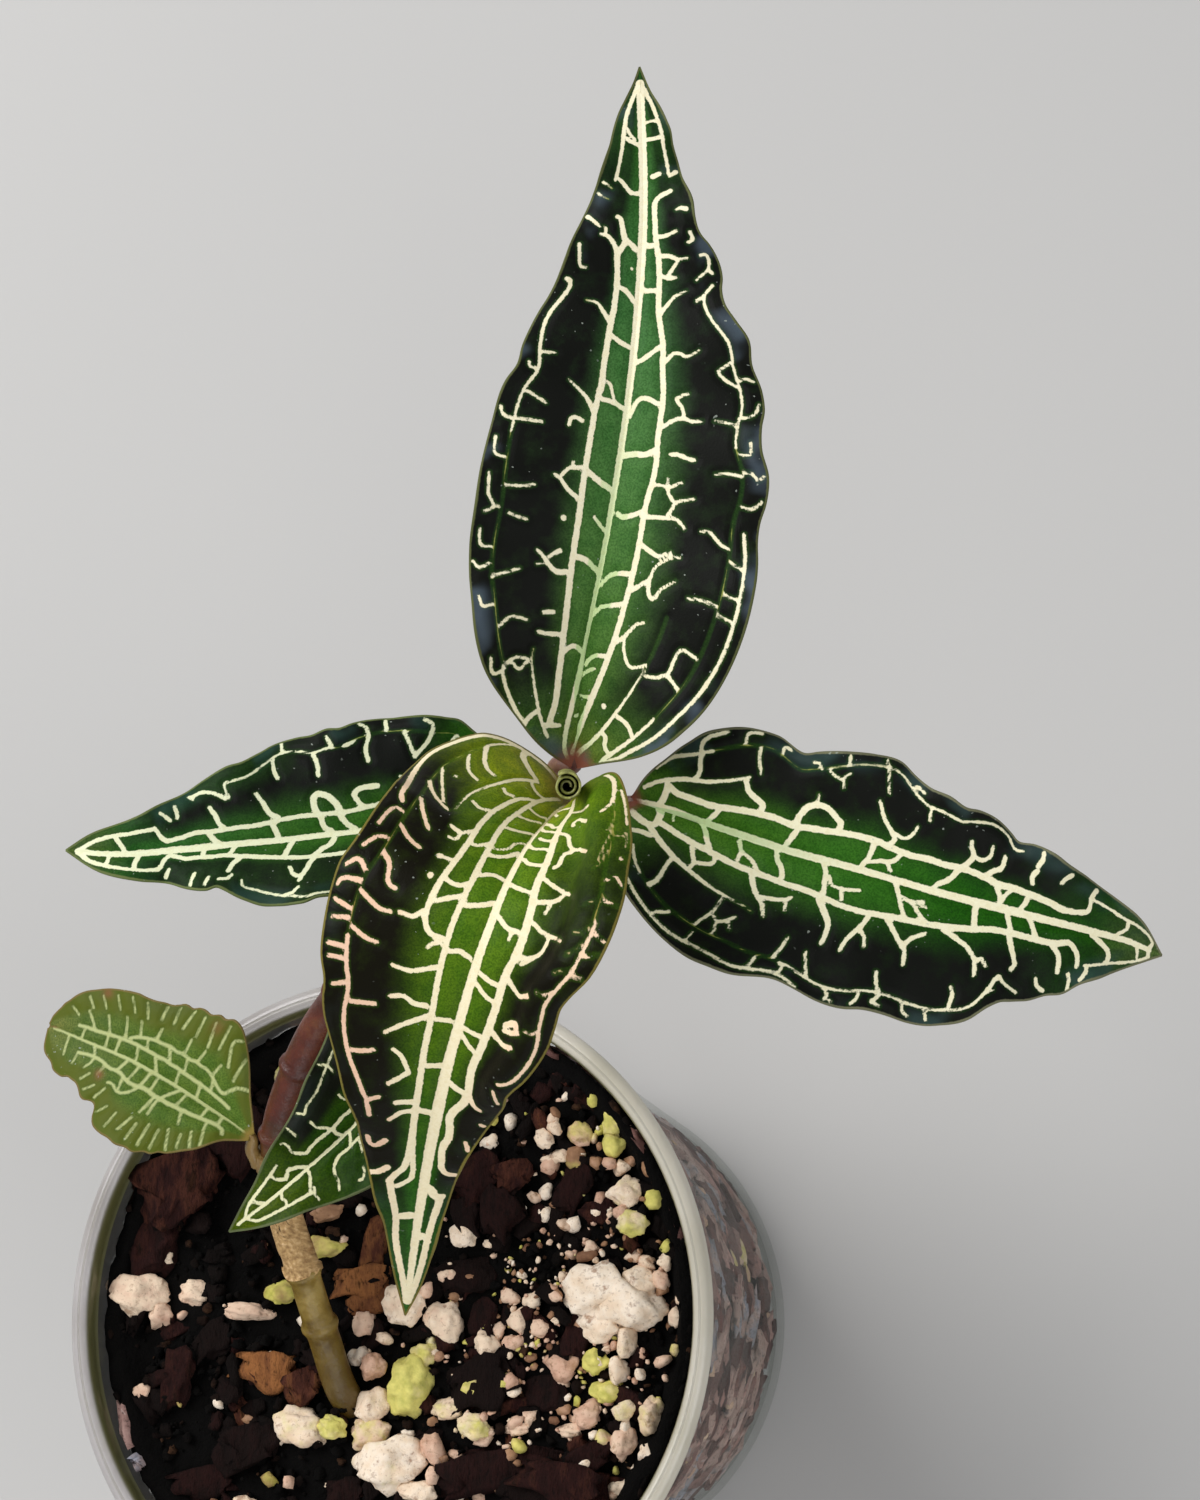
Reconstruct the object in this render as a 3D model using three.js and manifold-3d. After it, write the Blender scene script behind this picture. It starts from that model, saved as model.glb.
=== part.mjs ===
// A jewel orchid in a clear round pot. One leaning stem carries six open leaves and a rolled new one,
// and its fleshy roots run in a loose mix of bark and pumice.
// Millimetres, +Z up. The origin is the centre of the pot's flat underside.
import * as THREE from "three";
import { mergeVertices } from "three/addons/utils/BufferGeometryUtils.js";
import Module from "manifold-3d";

const wasm = await Module();
wasm.setup();

// ---------------------------------------------------------------- driving dimensions

const GAP = 0.3; // air between neighbouring pieces

const POT = {
  height: 78,
  rimRadius: 42.5, // outside of the rolled rim
  beadWidth: 2.6,
  beadHeight: 3.2,
  beadLip: 0.7, // height of the slope under the bead
  beadSteps: 6,
  shoulderRadius: 40.9, // outside of the wall, just under the bead
  footRadius: 34.5,
  footRound: 2.2,
  footSteps: 3,
  innerRound: 1.8,
  wall: 1.0,
  floor: 1.4,
  sides: 44,
  drainHoles: 6,
  drainRadius: 2.6,
  drainRing: 22,
  drainSides: 12,
};

const SOIL = {
  top: 71.6, // mean height of the surface
  relief: 0.9, // height of the surface's swells, and how often they turn for each millimetre
  swell: [0.31, 0.27],
  crossSwell: [0.67, 0.53],
  swellStart: [1.2, 0.4],
  ringRadii: [35, 28, 20, 11], // where the surface bends, from the wall inwards
  scatterRadius: 36,
  looseStones: 18,
  looseLength: [2.4, 5],
  barkChips: 12,
  chipLength: [5, 10],
  chipWidth: [3, 5.5],
  chipThickness: [1.6, 2.6],
  chipTilt: 0.25,
  chipRaise: 0.3,
  stoneHeight: 0.75, // share of the width
  stoneRaise: 0.12, // share of the height by which its middle stands over the surface
  stoneRough: [0.82, 1.12], // how far each corner is pushed in or out
  stemClearance: 0.35,
  seed: 41,
};

// Stones that lie in plain view: x, y, length, width, turn in degrees.
const STONES = [
  [27.0, 2.5, 13.0, 9.5, 20],
  [19.5, -1.0, 6.0, 4.0, -30],
  [-34.4, 2.5, 6.0, 4.2, 60],
  [-31.9, 7.7, 3.0, 2.6, 0],
  [-27.8, 3.0, 4.4, 3.2, -20],
  [-20.2, 1.0, 5.0, 2.4, -10],
  [-34.7, -9.6, 2.8, 2.4, 30],
  [20.7, 21.0, 5.2, 3.0, 75],
  [28.5, 22.2, 6.2, 3.2, 100],
  [24.0, 22.5, 3.6, 3.2, 20],
  [30.1, 15.2, 4.6, 4.0, 40],
  [31.5, 11.1, 4.2, 3.6, 0],
  [19.4, 15.0, 4.0, 2.4, 70],
  [12.0, -3.6, 4.2, 3.0, 60],
  [21.9, -5.7, 5.0, 4.4, 10],
  [26.6, -5.7, 3.8, 3.4, 60],
  [27.6, -9.5, 4.2, 3.4, 10],
  [2.0, -8.4, 6.4, 5.0, 95],
  [7.2, -11.4, 5.2, 3.4, -30],
  [10.6, -13.4, 4.4, 3.0, 20],
  [25.6, -12.1, 4.6, 3.4, -40],
  [0.7, -18.5, 8.0, 6.6, 30],
  [-12.4, -14.2, 5.6, 4.6, 40],
  [33.3, -15.5, 3.8, 3.4, 0],
];

// The stem's centre line, from its buried end to the crown.
const STEM = {
  line: [
    [-4.6, -16.0, 53],
    [-5.8, -13.4, 63],
    [-6.8, -9.9, 72],
    [-7.7, -3.1, 77],
    [-8.0, 4.0, 83],
    [-8.5, 13.1, 90],
    [-7.2, 20.6, 96],
    [-3.2, 26.7, 102],
    [3.2, 33.6, 109],
    [13.8, 40.9, 118],
    [25.3, 46.7, 127],
    [36.5, 50.7, 137],
    [43.3, 51.6, 147],
  ],
  lowRadius: 2.15,
  crownRadius: 1.5,
  nodeHeights: [78.5, 84, 90.5, 96.5, 104, 112, 120, 127.5], // rings left where leaves were joined
  nodeSwell: 0.4,
  nodeReach: 1.3, // how far along the stem a ring's swelling runs each way
  steps: 22,
  sides: 8,
};

// Fleshy roots, each a centre line that starts inside the buried end of the stem.
const ROOTS = {
  startRadius: 1.35,
  endRadius: 0.9,
  sides: 6,
  steps: 6,
  lines: [
    [[-4.6, -15.9, 54], [-1.0, -19.0, 46], [6.0, -20.0, 34], [12.0, -16.0, 20]],
    [[-4.8, -15.6, 55], [-10.0, -19.0, 49], [-18.0, -17.0, 38], [-22.0, -9.0, 24]],
    [[-5.0, -15.0, 57], [-4.0, -9.0, 50], [-6.0, 2.0, 38], [-12.0, 14.0, 25]],
    [[-5.4, -14.4, 60], [2.0, -12.0, 55], [12.0, -4.0, 46], [18.0, 8.0, 32]],
    [[-4.6, -16.0, 53.4], [-5.5, -20.0, 44], [-7.0, -24.0, 30], [-4.0, -26.0, 14]],
  ],
};

const BLADE = {
  thickness: 0.8,
  strides: 24, // short strides from midrib to margin
  ridgeAt: 0.62, // where the steep step inside a margin lies, as a share of the half-width
  ridgeReach: 0.22,
  ridgeEnds: [0.12, 0.15], // shares of the length over which the step comes and goes
  waveEnds: [0.2, 0.25], // the same for the margin's waves
  waveShift: 1.1, // how far the two margins' waves are out of step, in radians
  crowding: 1.25, // above 1, the rows of vertices stand closer at the stalk
};

const STALK = {
  radius: 1.0,
  endShare: 0.62, // how much of the radius is left inside the blade
  reach: 0.07, // how far up the midrib it runs, as a share of the length
  depth: 0.35, // how far under the blade's middle surface it ends
  steps: 5,
  sides: 7,
};

// The short tube by which a leaf stalk holds the stem.
const SHEATH = { wall: 0.65, sides: 10 };

// Where along a leaf its half-widths are given, as shares of its length.
const STATIONS = [0, 0.04, 0.1, 0.18, 0.28, 0.38, 0.48, 0.58, 0.68, 0.78, 0.87, 0.94, 1];

// How most blades are folded. Rows: share of length, slope of the left and right half at the midrib,
// curl from midrib to margin and forward sweep of the side veins, all in degrees.
const FOLD = [
  [0, 42, 42, -8, -42],
  [0.12, 33, 33, -8, -26],
  [0.3, 22, 22, -8, -8],
  [0.6, 14, 14, -8, 6],
  [1, 6, 6, 0, 20],
];

// One entry for each open leaf. midrib: points from the stalk to the tip. face: rows of a share of the
// length and the way the upper side looks there. left and right: half-widths at the stations, seen from
// above with the tip away. wave: height of the margin's waves, their number and their start in radians.
// stalk: points from the stem to the blade. sheath: heights on the stem between which it is clasped.
const LEAVES = {
  leaf_top: {
    midrib: [[46.1, 54.7, 149], [48.9, 64.9, 154.5], [52.5, 76.4, 158.5],
      [55.6, 91.5, 161], [56.9, 108.4, 161], [55.6, 126.5, 157.5]],
    face: [[0, 0.2, -0.25, 0.95], [0.5, 0.22, -0.12, 0.97], [1, 0.24, 0.05, 0.97]],
    fold: FOLD,
    left: [0.6, 3.2, 6.6, 11.5, 13.9, 14.2, 13.1, 10.6, 7.9, 5.3, 3.5, 1.7, 0.4],
    right: [0.6, 4.2, 10.2, 14.9, 16.9, 16.1, 14.4, 11.7, 7.8, 4.9, 3.2, 1.7, 0.4],
    wave: [0.9, 6.5, 0.6],
    stalk: [[42.6, 53.6, 145.2], [43.6, 55.2, 146.6], [46.1, 54.7, 148.6]],
    sheath: [144.3, 146.2],
    steps: [26, 8],
  },
  leaf_right: {
    midrib: [[50.7, 51.7, 142.5], [55.5, 49.7, 144.5], [67.6, 45, 146],
      [78.7, 41.8, 144.5], [92.8, 37.8, 139.5], [103.7, 34.9, 132]],
    face: [[0, -0.15, 0.05, 0.98], [0.5, 0.05, -0.05, 1], [1, 0.3, -0.1, 0.95]],
    fold: FOLD,
    left: [0.6, 2.2, 5.6, 10.1, 11.3, 11.2, 11.2, 9.3, 7.4, 6.4, 4.5, 2.7, 0.4],
    right: [0.6, 2.6, 7.0, 11.5, 14.5, 13.1, 13.8, 13.7, 10.6, 7.2, 4.1, 1.9, 0.4],
    wave: [1.1, 5.5, 2.2],
    stalk: [[41.6, 51.0, 140.4], [45.6, 51.6, 140.2], [50.7, 51.7, 142.1]],
    sheath: [140.6, 142.4],
    steps: [24, 8],
  },
  leaf_left: {
    midrib: [[35.2, 52.6, 140.7], [26.2, 49.6, 146.5], [15.8, 48, 150.5],
      [7.5, 47.1, 153.5], [-0.9, 46.3, 156], [-7.1, 46.8, 157]],
    face: [[0, 0.1, 0.35, 0.92], [0.6, 0.1, 0.35, 0.92], [1, 0.2, 0.1, 0.95]],
    fold: FOLD,
    left: [0.6, 3.6, 6.2, 7.9, 8.8, 9.2, 9.1, 8.3, 5.9, 3.9, 2.6, 1.4, 0.4],
    right: [0.6, 5.2, 8.8, 10.9, 12.0, 12.2, 11.3, 9.7, 7.4, 5.1, 3.4, 1.9, 0.4],
    wave: [0.7, 5, 1.1],
    stalk: [[35.0, 52.4, 137.2], [34.4, 53.4, 138.8], [35.2, 52.6, 140.3]],
    sheath: [136.8, 138.6],
    steps: [20, 8],
  },
  leaf_front: {
    midrib: [[46.4, 50, 151], [46.3, 46.9, 158.5], [45.7, 41.8, 167], [43.6, 34.4, 171],
      [37.4, 22.6, 164], [31.1, 12.1, 152], [24.1, -1, 137]],
    face: [[0, 0.1, 0.85, 0.55], [0.12, 0.1, 0.5, 0.85], [0.25, 0.1, 0.1, 1],
      [0.6, 0.2, -0.35, 0.9], [1, 0.25, -0.5, 0.8]],
    fold: [
      [0, 50, 50, -10, -60],
      [0.12, 34, 28, -10, -36],
      [0.3, 12, 8, -10, -8],
      [0.6, 10, 8, -8, 6],
      [1, 5, 5, 0, 20],
    ],
    left: [1.2, 3.4, 6.8, 11.0, 14.0, 11.5, 8.9, 6.0, 4.3, 3.7, 2.7, 1.5, 0.4],
    right: [1.0, 6.6, 12.4, 15.8, 15.9, 15.7, 13.5, 9.9, 6.6, 4.4, 2.6, 1.3, 0.4],
    leftRidge: [0.02, 0.62, 58], // a steep step inside the left margin: from, to, extra slope
    wave: [0.7, 6, 2.6],
    stalk: [[45.0, 50.4, 148.2], [45.9, 49.7, 149.6], [46.4, 49.7, 151]],
    sheath: [147.5, 149.6],
    steps: [30, 10],
  },
  leaf_lower: {
    midrib: [[30.6, 42.1, 136], [27.9, 30.6, 141], [21.1, 18.6, 144.5],
      [14.8, 12.5, 147], [8.5, 7.4, 148]],
    face: [[0, 0.15, 0.1, 0.98], [0.5, 0.15, -0.05, 1], [1, 0.15, -0.15, 0.95]],
    fold: FOLD,
    left: [0.6, 3.2, 5.8, 7.6, 8.8, 9.2, 8.7, 7.8, 5.9, 4.1, 2.8, 1.5, 0.4],
    right: [0.6, 2.8, 5.4, 7.4, 8.6, 8.8, 8.0, 7.1, 5.8, 4.2, 2.4, 1.2, 0.4],
    wave: [0.6, 5, 0.4],
    stalk: [[29.6, 46.6, 130.6], [30.6, 44.4, 132.6], [30.6, 42.1, 135.6]],
    sheath: [129.6, 131.4],
    steps: [20, 8],
  },
  leaf_old: {
    midrib: [[-9.8, 21.0, 97.6], [-14.1, 24.2, 98.6], [-23.6, 29.9, 99.5],
      [-31.8, 33.2, 98.5], [-37.2, 35.2, 97]],
    face: [[0, 0.1, 0, 0.98], [0.5, 0.1, 0, 1], [1, 0.1, -0.1, 0.95]],
    fold: [
      [0, 30, 30, -8, -20],
      [0.12, 26, 26, -8, -10],
      [0.3, 18, 18, -8, 0],
      [0.6, 12, 12, -8, 14],
      [1, 6, 6, 0, 30],
    ],
    left: [0.6, 1.4, 2.6, 5.4, 8.4, 9.9, 9.8, 8.0, 6.4, 5.6, 4.5, 3.1, 0.4],
    right: [0.6, 1.8, 3.8, 7.5, 10.1, 9.7, 8.7, 7.9, 7.4, 6.3, 4.7, 3.1, 0.4],
    wave: [0.4, 3.5, 0],
    stalk: [[-9.9, 18.2, 94.4], [-10.3, 19.4, 96.0], [-9.9, 20.9, 97.2]],
    sheath: [93.2, 95.0],
    steps: [16, 8],
  },
};

// The new leaf, still rolled: a spiral strip that stands on a short solid foot.
const ROLL = {
  line: [[44.9, 52.0, 149.0], [46.1, 52.3, 151.6], [47.4, 51.7, 156], [50.3, 49.9, 166]],
  outerRadius: 1.45,
  strip: 0.6, // thickness of the strip
  air: 0.14, // between its turns
  turns: 1.05,
  stripFrom: 0.4, // share of the line where the strip begins
  squeeze: 0.82, // how slim it is there
  slant: 2.2, // how much lower the outer end of the strip stands
  footRadius: 0.5,
  footTop: 1.1, // radius of the foot where the strip stands on it
  footWidens: [0.2, 0.42], // shares of the line between which the foot widens
  footEnd: 0.5,
  clearance: 0.45,
  stepsAlong: 6,
  stepsAround: 22,
  sides: 10,
};

// The stem's last stretch, hidden by the sheath of the front leaf: on it stands the rolled leaf.
const TIP = [[43.3, 51.6, 147], [44.4, 51.8, 148.6], [45.6, 52.15, 150.6]];

// ---------------------------------------------------------------- helpers

const vec = (p) => new THREE.Vector3(...p);
const curveThrough = (points) => {
  const curve = new THREE.CatmullRomCurve3(points.map(vec), false, "catmullrom", 0.5);
  curve.arcLengthDivisions = 400;
  return curve;
};
const ease = (x) => THREE.MathUtils.smoothstep(x, 0, 1);
const degrees = THREE.MathUtils.degToRad;

// A seeded draw, so that every run gives the same stones.
function drawFrom(seed) {
  let state = seed;
  return () => {
    state = (state + 0x6d2b79f5) | 0;
    let t = Math.imul(state ^ (state >>> 15), 1 | state);
    t = (t + Math.imul(t ^ (t >>> 7), 61 | t)) ^ t;
    return ((t ^ (t >>> 14)) >>> 0) / 4294967296;
  };
}

// A smooth line through values given at rising places, with slopes from both neighbours.
function along(places, values, u) {
  const last = places.length - 1;
  const slope = (i) => {
    const before = i > 0 ? (values[i] - values[i - 1]) / (places[i] - places[i - 1]) : null;
    const after = i < last ? (values[i + 1] - values[i]) / (places[i + 1] - places[i]) : null;
    if (before === null) return after;
    if (after === null) return before;
    const h0 = places[i] - places[i - 1];
    const h1 = places[i + 1] - places[i];
    return (before * h1 + after * h0) / (h0 + h1);
  };
  const at = THREE.MathUtils.clamp(u, places[0], places[last]);
  let i = 0;
  while (i < last - 1 && at >= places[i + 1]) i += 1;
  const h = places[i + 1] - places[i];
  const t = (at - places[i]) / h;
  return (2 * t ** 3 - 3 * t ** 2 + 1) * values[i] + (t ** 3 - 2 * t ** 2 + t) * h * slope(i)
    + (3 * t ** 2 - 2 * t ** 3) * values[i + 1] + (t ** 3 - t ** 2) * h * slope(i + 1);
}
const column = (rows, k) => rows.map((row) => row[k]);
const alongRows = (rows, k, u) => along(column(rows, 0), column(rows, k), u);

// A closed geometry as a solid that can be joined and cut.
function solidOf(geometry) {
  const bare = new THREE.BufferGeometry();
  bare.setAttribute("position", geometry.getAttribute("position"));
  bare.setIndex(geometry.getIndex());
  const merged = mergeVertices(bare, 1e-4);
  const index = merged.getIndex().array;
  const kept = [];
  for (let i = 0; i < index.length; i += 3) {
    const [a, b, c] = [index[i], index[i + 1], index[i + 2]];
    if (a !== b && b !== c && a !== c) kept.push(a, b, c);
  }
  const mesh = new wasm.Mesh({
    numProp: 3,
    vertProperties: merged.getAttribute("position").array,
    triVerts: new Uint32Array(kept),
  });
  return new wasm.Manifold(mesh);
}

// The largest body of a solid, with any hollow closed off inside it filled.
const mainBody = (solid) =>
  solid.decompose().reduce((best, body) => (body.volume() > best.volume() ? body : best));

function geometryOf(solid) {
  const mesh = solid.getMesh();
  const geometry = new THREE.BufferGeometry();
  geometry.setAttribute("position", new THREE.BufferAttribute(mesh.vertProperties, 3));
  geometry.setIndex(new THREE.BufferAttribute(mesh.triVerts, 1));
  geometry.computeVertexNormals();
  return geometry;
}

// Moves every vertex of a geometry by a function from its old place to its new one.
function mapped(geometry, move) {
  const position = geometry.getAttribute("position");
  const point = new THREE.Vector3();
  for (let i = 0; i < position.count; i += 1) {
    point.fromBufferAttribute(position, i);
    const to = move(point);
    position.setXYZ(i, to.x, to.y, to.z);
  }
  return geometry;
}

// The point beside a curve at a share of its length, out by x and z in the plane across it.
function beside(curve, u, x, z) {
  const tangent = curve.getTangentAt(u);
  const across = new THREE.Vector3(1, 0, 0).addScaledVector(tangent, -tangent.x).normalize();
  const third = new THREE.Vector3().crossVectors(across, tangent);
  return curve.getPointAt(u).addScaledVector(across, x).addScaledVector(third, z);
}

// A round bar with closed ends along a curve, with rings of vertices at the stops.
function bar(curve, stops, radiusAt, sides) {
  const rings = stops.length - 1;
  const straight = new THREE.CylinderGeometry(1, 1, 1, sides, rings);
  return mapped(straight, (p) => {
    const u = stops[Math.round((p.y + 0.5) * rings)];
    return beside(curve, u, p.x * radiusAt(u), p.z * radiusAt(u));
  });
}

// A short tube round a curve between two shares of its length.
function collar(curve, from, to, inner, outer, sides) {
  const section = [[inner, 0], [outer, 0], [outer, 1], [inner, 1], [inner, 0]];
  const straight = new THREE.LatheGeometry(section.map((p) => new THREE.Vector2(...p)), sides);
  return mapped(straight, (p) => beside(curve, from + (to - from) * p.y, p.x, p.z));
}

const evenStops = (count) => Array.from({ length: count + 1 }, (_, i) => i / count);

// ---------------------------------------------------------------- pot

// Outside radius of the wall at a height.
const wallRadius = (z) => {
  const share = (z - POT.footRound) / (POT.height - POT.beadHeight - POT.footRound);
  return POT.footRadius + (POT.shoulderRadius - POT.footRadius) * share;
};

function potSolid() {
  const beadInner = POT.rimRadius - POT.beadWidth;
  const beadLow = POT.height - POT.beadHeight;
  const top = POT.beadWidth / 2;
  const profile = [new THREE.Vector2(0, 0)];
  for (let i = 0; i <= POT.footSteps; i += 1) {
    const a = (i / POT.footSteps) * Math.PI * 0.5;
    const r = POT.footRadius - POT.footRound + Math.sin(a) * POT.footRound;
    profile.push(new THREE.Vector2(r, POT.footRound * (1 - Math.cos(a))));
  }
  profile.push(new THREE.Vector2(wallRadius(beadLow), beadLow));
  profile.push(new THREE.Vector2(POT.rimRadius, beadLow + POT.beadLip));
  for (let i = 0; i <= POT.beadSteps; i += 1) {
    const a = (i / POT.beadSteps) * Math.PI;
    const r = POT.rimRadius - top + Math.cos(a) * top;
    profile.push(new THREE.Vector2(r, POT.height - top + Math.sin(a) * top));
  }
  profile.push(new THREE.Vector2(Math.min(beadInner, wallRadius(beadLow) - POT.wall), beadLow));
  const roundTop = POT.floor + POT.innerRound;
  profile.push(new THREE.Vector2(wallRadius(roundTop) - POT.wall, roundTop));
  profile.push(new THREE.Vector2(wallRadius(POT.floor) - POT.wall - POT.innerRound, POT.floor));
  profile.push(new THREE.Vector2(0, POT.floor));
  const shell = new THREE.LatheGeometry(profile, POT.sides).rotateX(Math.PI / 2);
  let solid = solidOf(shell);
  for (let i = 0; i < POT.drainHoles; i += 1) {
    const a = (i / POT.drainHoles) * Math.PI * 2;
    const drill = new THREE.CylinderGeometry(POT.drainRadius, POT.drainRadius, 4 * POT.floor, POT.drainSides)
      .rotateX(Math.PI / 2)
      .translate(Math.cos(a) * POT.drainRing, Math.sin(a) * POT.drainRing, 0);
    solid = solid.subtract(solidOf(drill));
  }
  return solid;
}

// ---------------------------------------------------------------- stem and roots

const stemCurve = curveThrough(STEM.line);
const stemLength = stemCurve.getLength();

// Share of the stem's length at which it reaches a height.
function stemShare(z) {
  let low = 0;
  let high = 1;
  for (let i = 0; i < 30; i += 1) {
    const middle = (low + high) / 2;
    if (stemCurve.getPointAt(middle).z < z) low = middle;
    else high = middle;
  }
  return (low + high) / 2;
}
const nodeShares = STEM.nodeHeights.map(stemShare);

function stemRadius(u) {
  const plain = THREE.MathUtils.lerp(STEM.lowRadius, STEM.crownRadius, u);
  const swell = nodeShares.reduce((sum, node) => {
    const away = Math.abs(u - node) * stemLength;
    return sum + STEM.nodeSwell * ease(1 - away / STEM.nodeReach);
  }, 0);
  return plain + swell;
}

function stemStops() {
  const reach = STEM.nodeReach / stemLength;
  const rings = nodeShares.flatMap((node) => [-1, -0.45, 0, 0.45, 1].map((d) => node + d * reach));
  const plain = evenStops(STEM.steps).filter((u) => nodeShares.every((n) => Math.abs(u - n) > 1.5 * reach));
  return [...plain, ...rings].sort((a, b) => a - b);
}

const ballAt = (place, radius) => solidOf(new THREE.OctahedronGeometry(radius, 1).translate(...place));

// The stem with its roots, swollen all over by extra: with none it is the piece, with more it is the
// tool that clears the piece's own hole in the soil.
function stemSolid(extra) {
  let solid = solidOf(bar(stemCurve, stemStops(), (u) => stemRadius(u) + extra, STEM.sides));
  for (const line of ROOTS.lines) {
    const radius = (u) => THREE.MathUtils.lerp(ROOTS.startRadius, ROOTS.endRadius, u) + extra;
    solid = solid.add(solidOf(bar(curveThrough(line), evenStops(ROOTS.steps), radius, ROOTS.sides)));
    if (extra) solid = solid.add(ballAt(line.at(-1), ROOTS.endRadius + 2 * extra));
  }
  return extra ? solid.add(ballAt(STEM.line[0], STEM.lowRadius + 2 * extra)) : solid;
}

// ---------------------------------------------------------------- soil

const soilHeight = (x, y) =>
  SOIL.top + SOIL.relief
    * (Math.sin(x * SOIL.swell[0] + SOIL.swellStart[0]) * Math.cos(y * SOIL.swell[1] - SOIL.swellStart[1])
      + 0.5 * Math.sin(x * SOIL.crossSwell[0] - y * SOIL.crossSwell[1]));

// A rounded stone: a ball with few sides, pushed out of round by a seeded draw.
function stoneSolid(x, y, length, width, turn, draw, detail) {
  const high = width * SOIL.stoneHeight;
  const ball = new THREE.IcosahedronGeometry(1, detail);
  const jitter = new Map();
  mapped(ball, (p) => {
    const key = [p.x, p.y, p.z].map((c) => c.toFixed(3)).join();
    if (!jitter.has(key)) jitter.set(key, THREE.MathUtils.lerp(...SOIL.stoneRough, draw()));
    const k = jitter.get(key) / 2;
    return new THREE.Vector3(p.x * length * k, p.y * width * k, p.z * high * k);
  });
  ball.rotateZ(degrees(turn));
  return solidOf(ball.translate(x, y, soilHeight(x, y) + high * SOIL.stoneRaise));
}

// A flat chip of bark that lies at a slight tilt.
function chipSolid(x, y, draw) {
  const between = ([low, high]) => THREE.MathUtils.lerp(low, high, draw());
  const tilt = () => SOIL.chipTilt * (2 * draw() - 1);
  const size = [SOIL.chipLength, SOIL.chipWidth, SOIL.chipThickness].map(between);
  const chip = new THREE.BoxGeometry(...size)
    .rotateX(tilt())
    .rotateY(tilt())
    .rotateZ(draw() * Math.PI);
  return solidOf(chip.translate(x, y, soilHeight(x, y) + SOIL.chipRaise));
}

// True where a piece of the mix that reaches so far has room: inside the wall and off the stem.
function roomFor(x, y, reach) {
  const wall = wallRadius(SOIL.top) - POT.wall;
  if (Math.hypot(x, y) + reach > wall - 3 * GAP) return false;
  const [entry, above] = [vec(STEM.line[2]), vec(STEM.line[4])];
  const stretch = new THREE.Line3(entry.setZ(0), above.setZ(0));
  const nearest = stretch.closestPointToPoint(new THREE.Vector3(x, y, 0), true, new THREE.Vector3());
  return nearest.distanceTo(new THREE.Vector3(x, y, 0)) > reach + STEM.lowRadius + 3 * GAP;
}

function soilSolid() {
  const inner = (z) => wallRadius(z) - POT.wall - GAP;
  const low = POT.floor + GAP;
  const round = POT.innerRound + 2 * GAP;
  const profile = [
    [0, low],
    [wallRadius(low) - POT.wall - round, low],
    [inner(POT.floor + round), POT.floor + round],
    [inner(SOIL.top), SOIL.top],
    ...SOIL.ringRadii.map((r) => [r, SOIL.top]),
    [0, SOIL.top],
  ];
  const plug = new THREE.LatheGeometry(profile.map((p) => new THREE.Vector2(...p)), POT.sides);
  plug.rotateX(Math.PI / 2);
  mapped(plug, (p) => {
    if (p.z < SOIL.top - 0.01) return p;
    const z = soilHeight(p.x, p.y);
    const share = Math.min(1, inner(z) / Math.hypot(p.x, p.y));
    return new THREE.Vector3(p.x * share, p.y * share, z);
  });
  let solid = solidOf(plug);
  const draw = drawFrom(SOIL.seed);
  for (const [x, y, length, width, turn] of STONES) {
    solid = solid.add(stoneSolid(x, y, length, width, turn, draw, length > 8 ? 1 : 0));
  }
  const scatter = (count, reach, make) => {
    let placed = 0;
    while (placed < count) {
      const r = SOIL.scatterRadius * Math.sqrt(draw());
      const a = draw() * Math.PI * 2;
      const [x, y] = [r * Math.cos(a), r * Math.sin(a)];
      if (!roomFor(x, y, reach)) continue;
      solid = solid.add(make(x, y));
      placed += 1;
    }
  };
  const stoneReach = (SOIL.looseLength[1] * SOIL.stoneRough[1]) / 2;
  scatter(SOIL.looseStones, stoneReach, (x, y) => {
    const length = THREE.MathUtils.lerp(...SOIL.looseLength, draw());
    return stoneSolid(x, y, length, length * 0.8, draw() * 180, draw, 0);
  });
  const chipReach = Math.hypot(SOIL.chipLength[1], SOIL.chipWidth[1]) / 2;
  scatter(SOIL.barkChips, chipReach, (x, y) => chipSolid(x, y, draw));
  return mainBody(mainBody(solid).subtract(stemSolid(SOIL.stemClearance)));
}

// ---------------------------------------------------------------- leaves

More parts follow.
